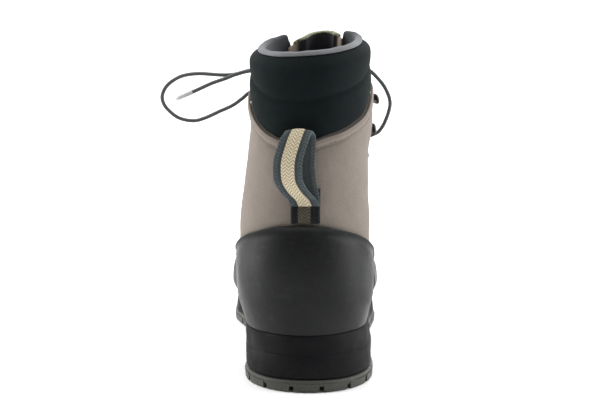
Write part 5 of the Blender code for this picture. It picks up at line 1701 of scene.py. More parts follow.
def toe_cover(points):
    """Grows from below nought to above it where a place leaves the toe cap or its rand."""
    y, z = points[..., 1], points[..., 2]
    cap = SOLE_LENGTH - TOE_CAP_REACH - TOE_CAP_SLANT * (TOE_BOX_HEIGHT - z) - y
    rear = 0.3 + 0.7 * ramp(y / SOLE_LENGTH, 0.50, 0.60)
    rand = z - feather(y) - RAND_HEIGHT * rear
    soft = 0.3 * RAND_HEIGHT
    h = np.clip(0.5 + 0.5 * (cap - rand) / soft, 0, 1)
    return cap * (1 - h) + rand * h - soft * h * (1 - h)


half = 0.55 + 0.45 * np.concatenate([[0.0, 0.004, 0.012, 0.026], np.linspace(0.045, 1.0, 110)])
columns = np.concatenate([half, (2 - half[:-1])[::-1]])
share = np.minimum(columns, 2 - columns)
toe_top = np.minimum(level_where(share, toe_cover, np.zeros(len(share))), THROAT_LEVEL)
toe_rand, _, _ = overlay(
    "toe_rand", columns, 0 * toe_top, toe_top, cup_rows, TOE_CAP_GAP, TOE_CAP_THICKNESS, **MOULDED
)
stands_for(toe_rand, "toe_cap")
print("heel cup is", round(float(np.ptp(cup_front[..., 2])) * 1000), "mm high")

# %% [markdown]
# ## Facings and topline band
#
# The facings carry the eyelets and hooks. They are a second layer of the same material, with a rounded
# border and a row of stitches 2 mm in from it. The topline band is a strip folded over the upper's top
# edge, under the collar, and stitched along its lower side.


# %% Facings and their stitches
ROUND_STEP = 0.004
OPEN_LOW = 0.03


def facing_inner_edge(v):
    """Column where the facing's edge lies away from the throat, at level v."""
    u = round_at(1.0, v)
    run = np.linalg.norm(last_point(u, v) - last_point(u - ROUND_STEP, v), axis=-1) / ROUND_STEP
    return 1 - FACING_WIDTH / (run * u)


def facing(name, side, node):
    """One facing on its side of the throat. Gives the stitches of its two seams."""
    across = crowded(26, (0.0, 0.010, 0.03))
    shares = crowded(110, (0.0, 0.003, 0.009))
    shares = OPEN_LOW + (1 - OPEN_LOW) * shares
    edge = facing_inner_edge(level_at(1.0, collar_line(1.0)))
    v = open_levels(side * (edge + (1 - edge) * across), shares)
    edge = facing_inner_edge(v)
    p = side * (edge + (1 - edge) * across)
    place, out = surface(p, v)
    moved = crease_depth(place)
    thick = FACING_THICKNESS * border_share(place, 1.0 * MM, 0.3)
    front = place + out * (OVERLAY_GAP + thick + moved)[..., None]
    back = place + out * (OVERLAY_GAP + np.minimum(moved, 0))[..., None]
    shape = sheet_mesh(in_row_frame(front), in_row_frame(back))
    piece = link_piece(name, shape, TAUPE_FACING.material, 1.0)
    stands_for(piece, node)
    outer_row = int(np.searchsorted(across, 0.105))
    throat_row = int(np.searchsorted(across, 0.90))
    rows = []
    for k in (outer_row, throat_row):
        rows.append(stitch_row(in_row_frame(front[6:-4, k]), out[6:-4, k], thick=0.55))
    return rows


stitches = facing("facing_outer", 1, "eyestay_outer") + facing("facing_inner", -1, "eyestay_inner")
sew("facing_stitches", stitches, THREAD.material)

# %% Topline band
def fold_swell(place, rows):
    """The fold's own roundness: full near its top, with a groove where the stitches pull it down."""
    swell = 0.75 * np.exp(-(((rows - 0.62) / 0.27) ** 2)) - 0.35 * np.exp(-(((rows - 0.20) / 0.09) ** 2))
    return MM * swell[:, None] * np.ones(place.shape[1])


band_end = float(facing_inner_edge(level_at(1.0, collar_line(1.0)))[0]) - 0.02
columns = band_end * np.linspace(-1, 1, 181)
line = collar_line(columns)
band_low = level_at(columns, line - BAND_WIDTH)
band_high = level_at(columns, line - GAP)
band_rows = crowded(16, (0.0, 0.03, 0.08))
BAND_FINISH = taupe_finish("band_taupe", tuple(1.12 * c for c in TAUPE_COLOUR), 0.16)
# Painted shade: the band darkens along its lower border, in the groove of its stitches and along its top
# under the collar.
BAND_FINISH.tint(BAND_FINISH.painted("painted_fold_shade"), (0.055, 0.047, 0.040), 0.75)
fold = {"finish": BAND_FINISH.material, "radius": 0.5, "rim": fold_swell, "least": 0.8}
band, band_front, band_out = overlay(
    "topline_fold", columns, band_low, band_high, band_rows, OVERLAY_GAP, BAND_THICKNESS, **fold
)
# Where the painted shade lies on the band: its lower border, the stitch groove and its top edge.
painted_fold_shade = np.exp(-((band_rows / 0.06) ** 2)) + 0.6 * np.exp(-(((band_rows - 0.20) / 0.06) ** 2))
painted_fold_shade += np.exp(-(((band_rows - 1.0) / 0.05) ** 2))
painted_fold_shade = np.repeat(np.clip(painted_fold_shade, 0, 1), len(columns))
paint(band, "painted_fold_shade", np.concatenate([painted_fold_shade, painted_fold_shade]))
stands_for(band, "topline_band")
low_row = int(np.searchsorted(band_rows, 0.20))
sew(
    "topline_stitches",
    [stitch_row(in_row_frame(band_front[low_row, 2:-2]), band_out[low_row, 2:-2], thick=0.65)],
    THREAD.material,
)

# %% [markdown]
# ## Webbing
#
# The backstay and the pull loop are one kind of webbing: slate selvedges with a tan stripe woven down
# the middle in a herringbone. The stripes follow the width, so the weave is drawn on the UV map: ribs
# that lean one way in one half of a pitch and the other way in the next. The strips themselves are
# modelled with thicker selvedges, since a render shows a webbing's edge before it shows its weave.


# %% Webbing finish
STRIPE_WIDTH = 0.0078


def webbing_finish(name, shade):
    """The weave in its own colours times shade, a factor that darkens all of them as painted shade where it
    is below 1. A piece's mask "plain" takes the stripe away.
    """

    def colour(*rgb):
        return tuple(shade * c for c in rgb)

    made = Finish(name, colour(0.062, 0.078, 0.083), 0.85, sheen_weight=0.1, specular_ior_level=0.2)
    half = CM_PER_M * WEBBING_WIDTH / 2
    stripe_half = CM_PER_M * STRIPE_WIDTH / 2
    centre = made.times(made.axis("Y", "uv"), half, "SUBTRACT")
    size = made.put("ShaderNodeMath", {0: centre}, operation="ABSOLUTE").outputs[0]
    stripe = made.between(size, stripe_half + 0.015, stripe_half - 0.015)
    dark = made.between(size, stripe_half + 0.20, stripe_half + 0.16)
    edge = made.between(size, half - 0.13, half - 0.09)
    ribs = made.waves(1.05, "DIAGONAL", wobble=0.15)
    back_ribs = made.waves(1.05, "DIAGONAL", wobble=0.15, turn=math.pi / 2)
    fold = made.put("ShaderNodeMath", {0: centre, 1: 0.195}, operation="PINGPONG").outputs[0]
    side = made.between(fold, 0.09, 0.105)
    chosen = made.put("ShaderNodeMix", {"Factor": side}, data_type="FLOAT")
    made.links.new(ribs, chosen.inputs[2])
    made.links.new(back_ribs, chosen.inputs[3])
    weave = chosen.outputs[0]
    made.tint(made.noise(3.0, 3.0), colour(0.090, 0.106, 0.112), 0.5)
    made.tint(dark, colour(0.022, 0.026, 0.028), 0.55)
    striped = made.times(stripe, made.between(made.painted("plain"), 1.0, 0.0))
    made.tint(striped, colour(0.70, 0.61, 0.43))
    made.tint(made.times(striped, made.between(weave, 0.55, 0.25)), colour(0.20, 0.165, 0.11), 0.7)
    beside_stripe = made.between(size, stripe_half, stripe_half + 0.02)
    made.tint(made.times(made.between(weave, 0.5, 0.2), beside_stripe), colour(0.026, 0.033, 0.036), 0.6)
    made.tint(edge, colour(0.066, 0.080, 0.085), 0.5)
    made.relief(weave, 0.28)
    return made


WEBBING = webbing_finish("webbing_weave", 1.0)
# Painted shade: the backstay uses the same weave with every colour darkened to 0.13, for a strip that lies in
# shadow below the pull loop.
SHADED_WEBBING = webbing_finish("webbing_backstay", 0.13)


def mirrored(half, sign=1):
    """Values over the left half of a strip and its middle, and the same over its right half, times sign."""
    return np.concatenate([half, sign * np.array(half[-2::-1])])


STRIP_ACROSS = mirrored([-1.0, -0.985, -0.94, -0.86, -0.80, -0.55, -0.25, 0.0], -1)


def webbing_strip(name, path, across, face, width, node, bow):
    """A webbing strip along a path, with thick selvedges. across and face are its directions, width and
    bow its width and how far its edges are pulled aside at each step. Its back is plain."""
    reach = 0.5 * width[:, None] * STRIP_ACROSS
    thick = 0.5 * WEBBING_THICKNESS * mirrored([0.45, 0.80, 1.0, 1.0, 0.82, 0.80, 0.80, 0.80])
    middle = path[:, None] + across[:, None] * reach[..., None] + bow[:, None] * (STRIP_ACROSS**2)[:, None]
    front = middle + face[:, None] * thick[:, None]
    back = middle - face[:, None] * thick[:, None]
    shape = sheet_mesh(np.swapaxes(front, 0, 1), np.swapaxes(back, 0, 1))
    piece = link_piece(name, shape, WEBBING.material, 1.0)
    count = len(piece.data.vertices)
    paint(piece, "plain", np.arange(count) < count // 2)
    stands_for(piece, node)


# %% Backstay
low = level_at(0.0, BACK_HEIGHT * counter_line(0.0) + 3 * GAP)[0]
high = level_at(0.0, LOOP_FOOT + BACKSTAY_OVER)[0]
levels = np.linspace(low, high, 60)
rounds = np.linspace(-0.15, 0.15, 121)
spots = straight_point(rounds[None, :], levels[:, None])[0]
profile = mirrored([0.55, 0.85, 1.0, 1.0, 0.88, 0.86, 0.86, 0.86])
reach = WEBBING_OFFSET + 0.5 * WEBBING_WIDTH * STRIP_ACROSS
u = np.array([np.interp(reach, row, rounds) for row in spots])
v = np.broadcast_to(levels[:, None], u.shape)
place, out = last_point(u, v), last_normal(u, v)
front = in_row_frame(place + out * (GAP + WEBBING_THICKNESS * profile)[:, None])
back = in_row_frame(place + out * GAP)
shape = sheet_mesh(np.swapaxes(front, 0, 1), np.swapaxes(back, 0, 1))
# The backstay takes the weave with painted shade.
backstay = link_piece("backstay_webbing", shape, SHADED_WEBBING.material, 1.0)
stands_for(backstay, "backstay")
edge_rows = [stitch_row(front[2:-2, k], out[2:-2, k], thick=0.45) for k in (3, -4)]
sew("backstay_stitches", edge_rows, DARK_THREAD.material)

# %% Pull loop
key = np.linspace(0, 1, len(PULL_LOOP["rise"]))
t = np.linspace(0, 1, 160)
side, out_mm, rise = (curve_through(key, PULL_LOOP[name])(t) for name in ("side", "out", "rise"))


def back_at(height):
    """Distance of the boot's back from the heel's back edge at a height."""
    v = level_at(np.zeros(len(height)), height)
    return last_point(np.zeros(len(height)), v)[:, 1]


height = LOOP_FOOT + LOOP_HEIGHT * rise
stand_off = 1.5 * WEBBING_THICKNESS + 3 * GAP - LOOP_CLEAR
foot = back_at(LOOP_FOOT + 0.0 * height)
clear = np.minimum(back_at(height), foot)
lean = axis(clear, height) + WEBBING_OFFSET
path = np.column_stack([lean - side * MM, clear - stand_off - out_mm * MM, height])
for _ in range(6):
    path[1:-1] = 0.25 * path[:-2] + 0.5 * path[1:-1] + 0.25 * path[2:]
across = np.tile([1.0, 0.0, 0.0], (len(path), 1))
along = unit(np.gradient(path, axis=0))
face = unit(np.cross(along, across))
at_top = np.exp(-(((path[:, 2].max() - path[:, 2]) / (3.5 * MM)) ** 2))
droop = np.stack([0 * at_top, 0 * at_top, -1.6 * MM * at_top], axis=1)
width = WEBBING_WIDTH * (1 - 0.05 * at_top)
webbing_strip("pull_loop_webbing", in_row_frame(path), across, face, width, "pull_loop", droop)
print("pull loop stands", round(float(np.ptp(path[:, 2])) * 1000), "mm high")

# %% [markdown]
# ## Padding
#
# The collar and tongue are foam covered with fabric. The cover is sewn down along its seams and swells
# between them. Blender's cloth does that: the closed mesh is pinned along its seams and blown up a
# little, and the movement is capped so that it stays in its place. One subdivision then smooths the
# result.


# %% Blow up a padded piece
def blow_up(piece, sewn, pressure, cap, frames=20):
    """Swells a closed piece by cloth pressure. sewn is 1 where it can't move, and cap is in metres."""
    rest = np.array([v.co[:] for v in piece.data.vertices])
    group = piece.vertex_groups.new(name="sewn")
    for weight in np.unique(np.round(sewn, 1)):
        if weight > 0:
            chosen = np.nonzero(np.round(sewn, 1) == weight)[0].tolist()
            group.add(chosen, float(weight), "REPLACE")
    cloth = piece.modifiers.new("padding", "CLOTH")
    cloth.settings.quality = 4
    cloth.settings.mass = 0.15
    cloth.settings.tension_stiffness = 12
    cloth.settings.compression_stiffness = 12
    cloth.settings.bending_stiffness = 0.4
    cloth.settings.use_pressure = True
    cloth.settings.uniform_pressure_force = pressure
    cloth.settings.vertex_group_mass = "sewn"
    cloth.settings.effector_weights.gravity = 0.0
    cloth.point_cache.frame_start = 1
    cloth.point_cache.frame_end = frames
    for frame_number in range(1, frames + 1):
        scene.frame_set(frame_number)
    seen = piece.evaluated_get(bpy.context.evaluated_depsgraph_get()).to_mesh()
    moved = np.array([v.co[:] for v in seen.vertices]) - rest
    piece.modifiers.remove(cloth)
    piece.vertex_groups.remove(group)
    scene.frame_set(1)
    far = np.linalg.norm(moved, axis=1)
    moved *= np.minimum(1, cap / np.maximum(far, 1e-9))[:, None] * (1 - sewn)[:, None]
    piece.data.vertices.foreach_set("co", (rest + moved).ravel())
    piece.data.update()
    return float(np.linalg.norm(moved, axis=1).max())


def subdivide_once(piece):
    layer = piece.modifiers.new("smooth", "SUBSURF")
    layer.levels = layer.render_levels = 1


# %% [markdown]
# ## Collar
#
# Two puffs run round the ankle with a sewn seam between them, and the collar's front ends are rounded
# off at the throat. The cross-section is a closed ring: up the outside, over the rim, down the inside. It
# is carried round the shaft column by column, and drawn in to a soft nose at both ends.


# %% Collar cross-sections
def puffed(t):
    """The collar's outer face: two soft puffs with a seam half way up, rounded in at the rim."""
    ends = 1 - np.abs(2 * np.mod(t * 2, 1.0) - 1) ** 2.5
    seam = np.exp(-(((t - 0.5) / 0.035) ** 2))
    puffs = COLLAR_PUFF * np.where((t > 0) & (t < 1), ends, 0.0) - 0.6 * COLLAR_SEAM_DEPTH * seam
    return puffs - COLLAR_ROUNDING * np.clip((t - 0.78) / 0.22, 0, 1) ** 2


def collar_inside(t):
    return -WALL - (COLLAR_PADDING - WALL) * ramp(t, 0.0, 0.35)


EAR_ROUNDING = 0.0055


def rim_level(p):
    """Level of the collar's rim in column p: 1, and less where the two front ends are rounded off."""
    place = surface(np.stack([p, p]), np.array([[1.0], [0.98]]) + 0 * p)[0]
    climb = np.linalg.norm(place[0] - place[1], axis=-1) / 0.02
    travel = travelled(place[0])
    left = np.clip(1 - np.minimum(travel, travel[-1] - travel) / EAR_ROUNDING, 0, 1)
    return 1 - EAR_ROUNDING * (1 - np.sqrt(np.clip(1 - left**2, 0, 1))) / climb


near_end = 1 - np.array([0.0, 0.003, 0.008, 0.015, 0.024, 0.035, 0.048, 0.062])
collar_p = np.concatenate([-near_end, np.linspace(-0.925, 0.925, 129), near_end[::-1]])
up_t = np.concatenate([[0.0, 0.012, 0.03], np.linspace(0.06, 0.96, 38), [0.98, 1.0]])
down_t = np.linspace(1.0, 0.0, 18)
collar_low = level_at(collar_p, collar_line(collar_p) + 3 * GAP)
t_ring = np.concatenate([up_t, [1.0, 1.0], down_t, [0.0]])
d_ring = np.concatenate(
    [
        puffed(up_t),
        puffed(np.ones(2)) * 0.7 + collar_inside(np.ones(2)) * 0.3,
        collar_inside(down_t),
        [-0.001],
    ]
)
d_ring[len(up_t) + 1] = puffed(1.0) * 0.3 + collar_inside(1.0) * 0.7
collar_high = rim_level(collar_p)
v = collar_low[:, None] + (collar_high - collar_low)[:, None] * t_ring[None, :]
place, out = surface(collar_p[:, None], v)
rings = in_row_frame(place + out * np.broadcast_to(d_ring, v.shape)[..., None])

centre = rings.mean(axis=1, keepdims=True)
shrink = np.ones(len(collar_p))
for k, size in enumerate((0.50, 0.76, 0.90, 0.97)):
    shrink[k] = shrink[-1 - k] = size
slim = centre + (rings - centre) * shrink[:, None, None]
collar = link_piece("collar_padding", ring_mesh(slim), NEOPRENE.material, 1.2)
sewn_ring = np.clip(
    np.exp(-(((t_ring - 0.5) / 0.03) ** 2)) * (d_ring > -0.002)
    + (t_ring < 0.02)
    + (t_ring > 0.985)
    + (d_ring < -0.003),
    0,
    1,
)
sewn = np.tile(sewn_ring, (len(collar_p), 1))
swell = blow_up(collar, sewn.ravel(), 4.0, 1.3 * MM)
subdivide_once(collar)
stands_for(collar, "collar")
print(f"collar swelled by {swell * 1000:.2f} mm")

seam_v = collar_low + (1 - collar_low) * 0.5
place, out = surface(collar_p, seam_v)
seam_line = in_row_frame(place + out * (-0.15 * MM))
collar_row = stitch_row(seam_line[3:-3], out[3:-3], length=2.6, space=1.2, thick=0.4)
sew("collar_stitches", [collar_row], DARK_THREAD.material)

# %% [markdown]
# ## Lining
#
# A light grey knit lines the collar and rolls outwards over its rim, where it catches the light from
# above. It is the same kind of ring as the collar, with a fat rounded top. The roll has the slight
# unevenness of a stuffed edge.

# %% Lining roll
lining_p = 0.972 * collar_p
rim_v = np.interp(lining_p, collar_p, collar_high)
rim_place, rim_out = surface(lining_p, rim_v)
rim_up = surface(lining_p, rim_v + 0.02)[0] - rim_place
rim_up = unit(rim_up)
near = -COLLAR_ROUNDING
inside = -COLLAR_PADDING - GAP
far = inside - LINING_THICKNESS
wave = 0.12 * np.sin(lining_p * 31.0) + 0.09 * np.sin(lining_p * 53.0 + 1.0)


def above(share, height):
    lift = GAP + LINING_ROLL * height * (1 + 0.35 * wave)
    return rim_place + rim_out * (near + (far - near) * share) + rim_up * lift[:, None]


def beside(distance, drop):
    levels = level_at(lining_p, rim_place[:, 2] - drop)
    place, out = surface(lining_p, levels)
    return place + out * distance


turn = np.linspace(0, math.pi, 17)
roll = [above(0.46 - 0.56 * math.cos(a), 0.15 + 0.85 * math.sin(a) ** 0.8) for a in turn]
loop = [above(0.02, 0.0), above(0.35, 0.0), rim_place + rim_out * inside + rim_up * GAP]
loop += [beside(inside, LINING_DEPTH * k / 8) for k in range(1, 9)]
loop += [beside(far, LINING_DEPTH * k / 8) for k in range(8, 0, -1)]
loop += roll[::-1]
rings = in_row_frame(np.stack(loop, axis=1))
centre = rings[:, -14:].mean(axis=1, keepdims=True)
for k, size in enumerate((0.35, 0.70, 0.90)):
    for j in (k, -1 - k):
        rings[j, -17:] = centre[j] + (rings[j, -17:] - centre[j]) * size
# Painted shade: the lining darkens towards the collar's two front ends, where less light from above reaches
# its inside.
LINING.tint(LINING.painted("painted_end_shade"), (0.030, 0.032, 0.035))
lining = link_piece("lining_roll", ring_mesh(rings), LINING.material, 1.2)
# How strong the painted shade is along the lining, from none at the back to most near the front ends.
painted_end_shade = 0.9 * ramp(np.abs(lining_p), 0.45, 0.90)
paint(lining, "painted_end_shade", np.repeat(painted_end_shade, rings.shape[1]))
subdivide_once(lining)
stands_for(lining, "collar_lining")
print("lining roll:", len(lining.data.polygons), "faces")

# %% [markdown]
# ## Tongue
#
# The tongue is a padded flap behind the throat. It thins to a gusset wing at each side, where it tucks
# behind the collar, and its top edge is bound. From behind only its inside shows: a dark face with a
# beige wing down each side.

# %% Tongue
TONGUE_ROWS, TONGUE_ACROSS = 96, 65
tongue_top = level_at(1.0, BACK_HEIGHT * LEVELS["front"][-2] - TONGUE_SHOULDER)[0]
v_line = np.linspace(THROAT_LEVEL - 0.02, tongue_top, TONGUE_ROWS)
across = np.linspace(-1, 1, TONGUE_ACROSS)
reach = THROAT_WIDTH * throat_half(np.maximum(v_line, 0.56)) + TONGUE_OVERLAP
rounds = np.linspace(0.5, 0.2, 160)
spots = straight_point(rounds[None, :], v_line[:, None])[0]
u = np.array([np.interp(np.abs(across) * r, row, rounds) for r, row in zip(reach, spots)])
u = np.where(across[None, :] > 0, u, 1 - u)
tucked = ramp(v_line, 0.84, 0.91)[:, None] * ramp(np.abs(across), *TONGUE_TUCK)[None, :]
depth_out = -WALL - 3 * GAP - tucked * (COLLAR_PADDING + LINING_THICKNESS + GAP)
crown = tongue_rise(across) / BACK_HEIGHT
v = v_line[:, None] + ramp(v_line, tongue_top - 0.05, tongue_top)[:, None] * crown[None, :]
pad = TONGUE_WING + (TONGUE_THICKNESS - TONGUE_WING) * (1 - ramp(np.abs(across), 0.55, 0.85))
place, out = last_point(u, v), last_normal(u, v)
place[..., 0] += TONGUE_DRIFT * ramp(v, 0.90, 1.02) * (1 - across**2)
front = place + out * depth_out[..., None]
back = place + out * (depth_out - pad[None, :])[..., None]

TONGUE = knit_finish("tongue_fabric", (0.030, 0.031, 0.035), (0.062, 0.064, 0.070), 0.9, 0.10)
TONGUE.tint(TONGUE.painted("gusset"), (0.30, 0.25, 0.20))
shape = sheet_mesh(in_row_frame(front), in_row_frame(back))
tongue = link_piece("tongue_padding", shape, TONGUE.material, 1.2)
side_mask = np.broadcast_to(ramp(np.abs(across), 0.76, 0.84), v.shape)
paint(tongue, "gusset", np.concatenate([0.85 * side_mask.ravel(), side_mask.ravel()]))
edge_share = np.abs(across)
quilt = np.exp(-(((edge_share - 0.78) / 0.03) ** 2))[None, :] + 0 * v_line[:, None]
ends = (ramp(v_line, tongue_top - 0.012, tongue_top) + (v_line < 0.50))[:, None] + 0 * quilt
sewn = np.clip(quilt + ends + ramp(edge_share, 0.80, 0.84)[None, :], 0, 1)
swell = blow_up(tongue, np.concatenate([sewn.ravel(), sewn.ravel()]), 3.0, 0.9 * MM)
subdivide_once(tongue)
stands_for(tongue, "tongue")
print(f"tongue swelled by {swell * 1000:.2f} mm")

# %% Binding along the tongue's top edge
BINDING = Finish("binding_olive", (0.150, 0.160, 0.062), 0.9, sheen_weight=0.5, sheen_roughness=0.5)
BINDING.tint(BINDING.noise(1.6, 3.0, low=0.45, high=0.6), (0.33, 0.30, 0.19), 0.8)
BINDING.tint(BINDING.noise(2.3, 4.0, low=0.52, high=0.62), (0.035, 0.038, 0.025), 0.75)
BINDING.relief(BINDING.noise(0.7, 3.0), 0.35)
inner_part = np.abs(across) < 0.90
edge_front, edge_back = in_row_frame(front[-1])[inner_part], in_row_frame(back[-1])[inner_part]
edge_middle = 0.5 * (edge_front + edge_back)
edge_up = unit(in_row_frame(front[-1])[inner_part] - in_row_frame(front[-4])[inner_part])
edge_out = unit(edge_front - edge_back)
thick = 0.5 * np.linalg.norm(edge_front - edge_back, axis=1) + 0.45 * MM
turn = full_turn(20)
fuzz = np.random.default_rng(SEED).normal(0, 0.03, (len(thick), len(turn)))
ring = (
    edge_out[:, None] * (np.cos(turn)[None, :] * (1 + fuzz))[..., None] * thick[:, None, None]
    + edge_up[:, None] * (np.sin(turn)[None, :] * (1 + fuzz))[..., None] * 1.2 * MM
)
binding = link_piece("tongue_binding", ring_mesh(edge_middle[:, None] + ring), BINDING.material, 1.2)
subdivide_once(binding)

# %% [markdown]
# ## Eyelets and hooks
#
# The lower four pairs are round eyelets: a turned ring with a rolled rim. The upper three pairs are open
# hooks: a riveted plate whose end curls back over the lace. All of them sit on the facings, so their
# shapes are drawn in the surface's own directions: away from the throat, up along it, and out.


# %% Places on the facings
FIXINGS = {}


def fixing(height, setback, side):
    """Round share and level of a lace fixing, and how both change away from the throat and up along it."""
    if (height, setback, side) not in FIXINGS:
        v = level_at(1.0, BACK_HEIGHT * height)[0]
        edge = float(round_at(1.0, v))
        run = np.linalg.norm(last_point(edge, v) - last_point(edge - ROUND_STEP, v)) / ROUND_STEP
        u = side * (edge - setback / run)
        step = 0.003
        place = last_point(u, v)
        out = last_normal(u, v)
        round_way = (last_point(u - side * step, v) - place) / step
        level_way = (last_point(u, v + step) - place) / step
        away_way = unit(round_way)
        up_way = np.cross(out, away_way) * side
        ways = [[round_way @ away_way, level_way @ away_way], [round_way @ up_way, level_way @ up_way]]
        FIXINGS[height, setback, side] = u, v, np.linalg.inv(ways)
    return FIXINGS[height, setback, side]


def beside_fixing(place, side, away, up):
    """Round shares and levels at distances away from the throat and up along it from a fixing."""
    u, v, turn = place
    return u - side * (turn[0, 0] * away + turn[0, 1] * up), v + turn[1, 0] * away + turn[1, 1] * up


def around(place, side, away, up, lift):
    """Points at height lift over the last, beside a fixing."""
    u, v = beside_fixing(place, side, away, up)
    return last_point(u, v) + last_normal(u, v) * lift[..., None]


METAL = Finish("fixing_metal", (0.105, 0.10, 0.095), 0.36, metallic=1.0)
METAL.tint(METAL.noise(5, 4.0, low=0.45, high=0.7), (0.20, 0.19, 0.18), 0.6)
METAL.gloss(METAL.noise(3, 4.0), 0.46, 0.28)
METAL.relief(METAL.noise(0.8, 2.0), 0.02)


def eyelet(name, height, side, node):
    place = fixing(height, EYELET_SETBACK, side)
    seat = FACING_TOP + 3 * GAP
    turn = full_turn(36)
    outer, inner = EYELET_OUTER / 2, EYELET_INNER / 2
    profile = [
        (inner, 0.0),
        (outer - 0.3 * MM, 0.0),
        (outer, 0.15 * MM),
        (outer, 0.35 * MM),
        (outer - 0.25 * MM, 0.60 * MM),
        (0.55 * outer + 0.45 * inner, 0.80 * MM),
        (inner + 0.45 * MM, EYELET_HEIGHT),
        (inner + 0.12 * MM, 0.75 * MM),
        (inner, 0.45 * MM),
    ]
    radius, lift = np.array(profile).T[:, :, None]
    rings = around(place, side, radius * np.cos(turn), radius * np.sin(turn), seat + lift + 0 * turn)
    piece = link_piece(name, ring_mesh(in_row_frame(rings), closed=True), METAL.material, 1.0)
    return stands_for(piece, node)


def eyelet_hole(height, side):
    """Painted shade for the inside of an eyelet: a dark shallow disc under its ring, where the hole's shadow
    would be.
    """
    place = fixing(height, EYELET_SETBACK, side)
    turn = full_turn(24)
    radius = np.full((2, 1), EYELET_INNER / 2)
    lift = FACING_TOP + np.array([[0.25 * MM], [0.45 * MM]])
    disc = around(place, side, radius * np.cos(turn), radius * np.sin(turn), lift + 0 * turn)
    return ring_mesh(in_row_frame(disc))


def hook(name, height, side, node):
    """A hook from sections across its sheet: the plate, the bend, the stem and the lip."""
    place = fixing(height, HOOK_SETBACK, side)
    seat = FACING_TOP + 3 * GAP
    back = -0.42 * HOOK_LENGTH
    front = back + HOOK_LENGTH
    tip = back + 0.78 * HOOK_LENGTH
    s = HOOK_METAL
    top = HOOK_HEIGHT - 0.5 * s
    line = np.array(
        [
            (front, 0.5 * s, 0.25),
            (front - 0.5 * MM, 0.5 * s, 0.62),
            (front - 1.6 * MM, 0.5 * s, 0.90),
            (front - 3.2 * MM, 0.5 * s, 1.00),
            (back + 3.2 * MM, 0.5 * s, 0.95),
            (back + 1.8 * MM, 0.5 * s, 0.80),
            (back + 0.9 * MM, 0.8 * s, 0.66),
            (back + 0.55 * s, 1.5 * s, 0.60),
            (back + 0.5 * s, 0.5 * top, 0.58),
            (back + 0.55 * s, top - 1.3 * s, 0.60),
            (back + 1.0 * s, top - 0.3 * s, 0.68),
            (back + 2.0 * s, top, 0.82),
            (tip - 3.0 * MM, top, 0.98),
            (tip - 1.2 * MM, top + 0.15 * s, 0.90),
            (tip - 0.3 * MM, top + 0.35 * s, 0.62),
            (tip, top + 0.4 * s, 0.25),
        ]
    )
    fine = smooth_through(line, 3)
    way = unit(np.gradient(fine[:, :2], axis=0))
    normal = np.stack([-way[:, 1], way[:, 0]], axis=1)
    half = [(-1, -0.5), (-1, 0.5), (-0.86, 1), (0.86, 1)]
    corner = np.array(half + [(-x, -y) for x, y in half])
    across = corner[:, 1] * 0.5 * s
    away = fine[:, :1] + across * normal[:, :1]
    lift = seat + fine[:, 1:2] + across * normal[:, 1:2]
    up = corner[:, 0] * fine[:, 2:3] * HOOK_WIDTH / 2
    parts = [ring_mesh(in_row_frame(around(place, side, away, up, lift)))]
    turn = full_turn(20)
    rivet = np.array([(1.9, 0.9), (1.85, 1.25), (1.5, 1.5), (0.9, 1.65), (0.3, 1.7)])
    radius, rise = MM * rivet.T[:, :, None]
    away, up = 3.4 * MM + radius * np.cos(turn), radius * np.sin(turn)
    dome = around(place, side, away, up, seat + rise + 0 * turn)
    parts.append(ring_mesh(in_row_frame(dome)))
    piece = link_piece(name, several(parts), METAL.material, 0.8)
    return stands_for(piece, node)


for side, side_name in ((1, "outer"), (-1, "inner")):
    for k, height in enumerate(EYELET_HEIGHTS, 1):
        eyelet(f"eyelet_ring_{side_name}_{k}", height, side, f"eyelet_{side_name}_{k}")
    for k, height in enumerate(HOOK_HEIGHTS, 1):
        hook(f"speed_hook_{side_name}_{k}", height, side, f"hook_{side_name}_{k}")
holes = [eyelet_hole(height, side) for height in EYELET_HEIGHTS for side in (1, -1)]
# Painted shade: a near-black finish on the discs stands in for the shadow inside the eyelets' holes.
HOLE_SHADE = Finish("eyelet_dark", (0.012, 0.012, 0.012), 0.9)
HOLE_SHADE.tint(HOLE_SHADE.noise(1.0), (0.02, 0.02, 0.02))
eyelet_holes = link_piece("eyelet_holes", several(holes)[:2], HOLE_SHADE.material)
print("fixings:", 2 * (len(EYELET_HEIGHTS) + len(HOOK_HEIGHTS)))

# %% [markdown]
# ## Lacing
#
# One lace goes from hook to hook and hole to hole: in at the bottom pair from outside, then across under
# the opposite facing's edge and out through the next hole, and at the hooks round the stem. Over the
# tongue one half lies on top along the eyelets, the other along the hooks. The route is a list of places
# beside the fixings, and a smooth path runs through them.

# %% Route of the lacing
LACE_TOP = FACING_TOP + LACE_REST + LACE_DIAMETER / 2
LACE_LOW = -WALL + 2 * GAP + LACE_DIAMETER / 2
UNDER = -1.3 * MM
DIP = 1.3 * MM

# Places of the lace beside a fixing: millimetres away from the throat, whose edge lies at -edge, then
# millimetres up along it, and metres out of the last.
edge = EYELET_SETBACK / MM
AT_FIRST = (
    (0.0, 0.0, LACE_TOP - 0.2 * MM),
    (0.0, 0.3, 0.6 * MM),
    (-1.5, 1.6, UNDER),
    (-edge - 1.0, 3.6, UNDER),
)
AT_EYELET = (
    (-edge - 1.0, -3.6, UNDER),
    (-2.4, -1.4, UNDER),
    (-0.2, -0.2, 0.4 * MM),
    (-0.6, 0.4, LACE_TOP + 0.5 * MM),
    (-3.6, 2.2, LACE_TOP + 0.5 * MM),
    (-6.8, 3.6, LACE_TOP - 0.5 * MM),
    (-edge - 1.2, 4.8, LACE_TOP - DIP),
)
edge = HOOK_SETBACK / MM
ROUND_STEM = ((-9.5, -4.8), (-5.6, -4.2), (-2.9, -3.0), (-1.9, 0.0), (-2.9, 3.0), (-5.6, 4.2), (-9.5, 4.8))
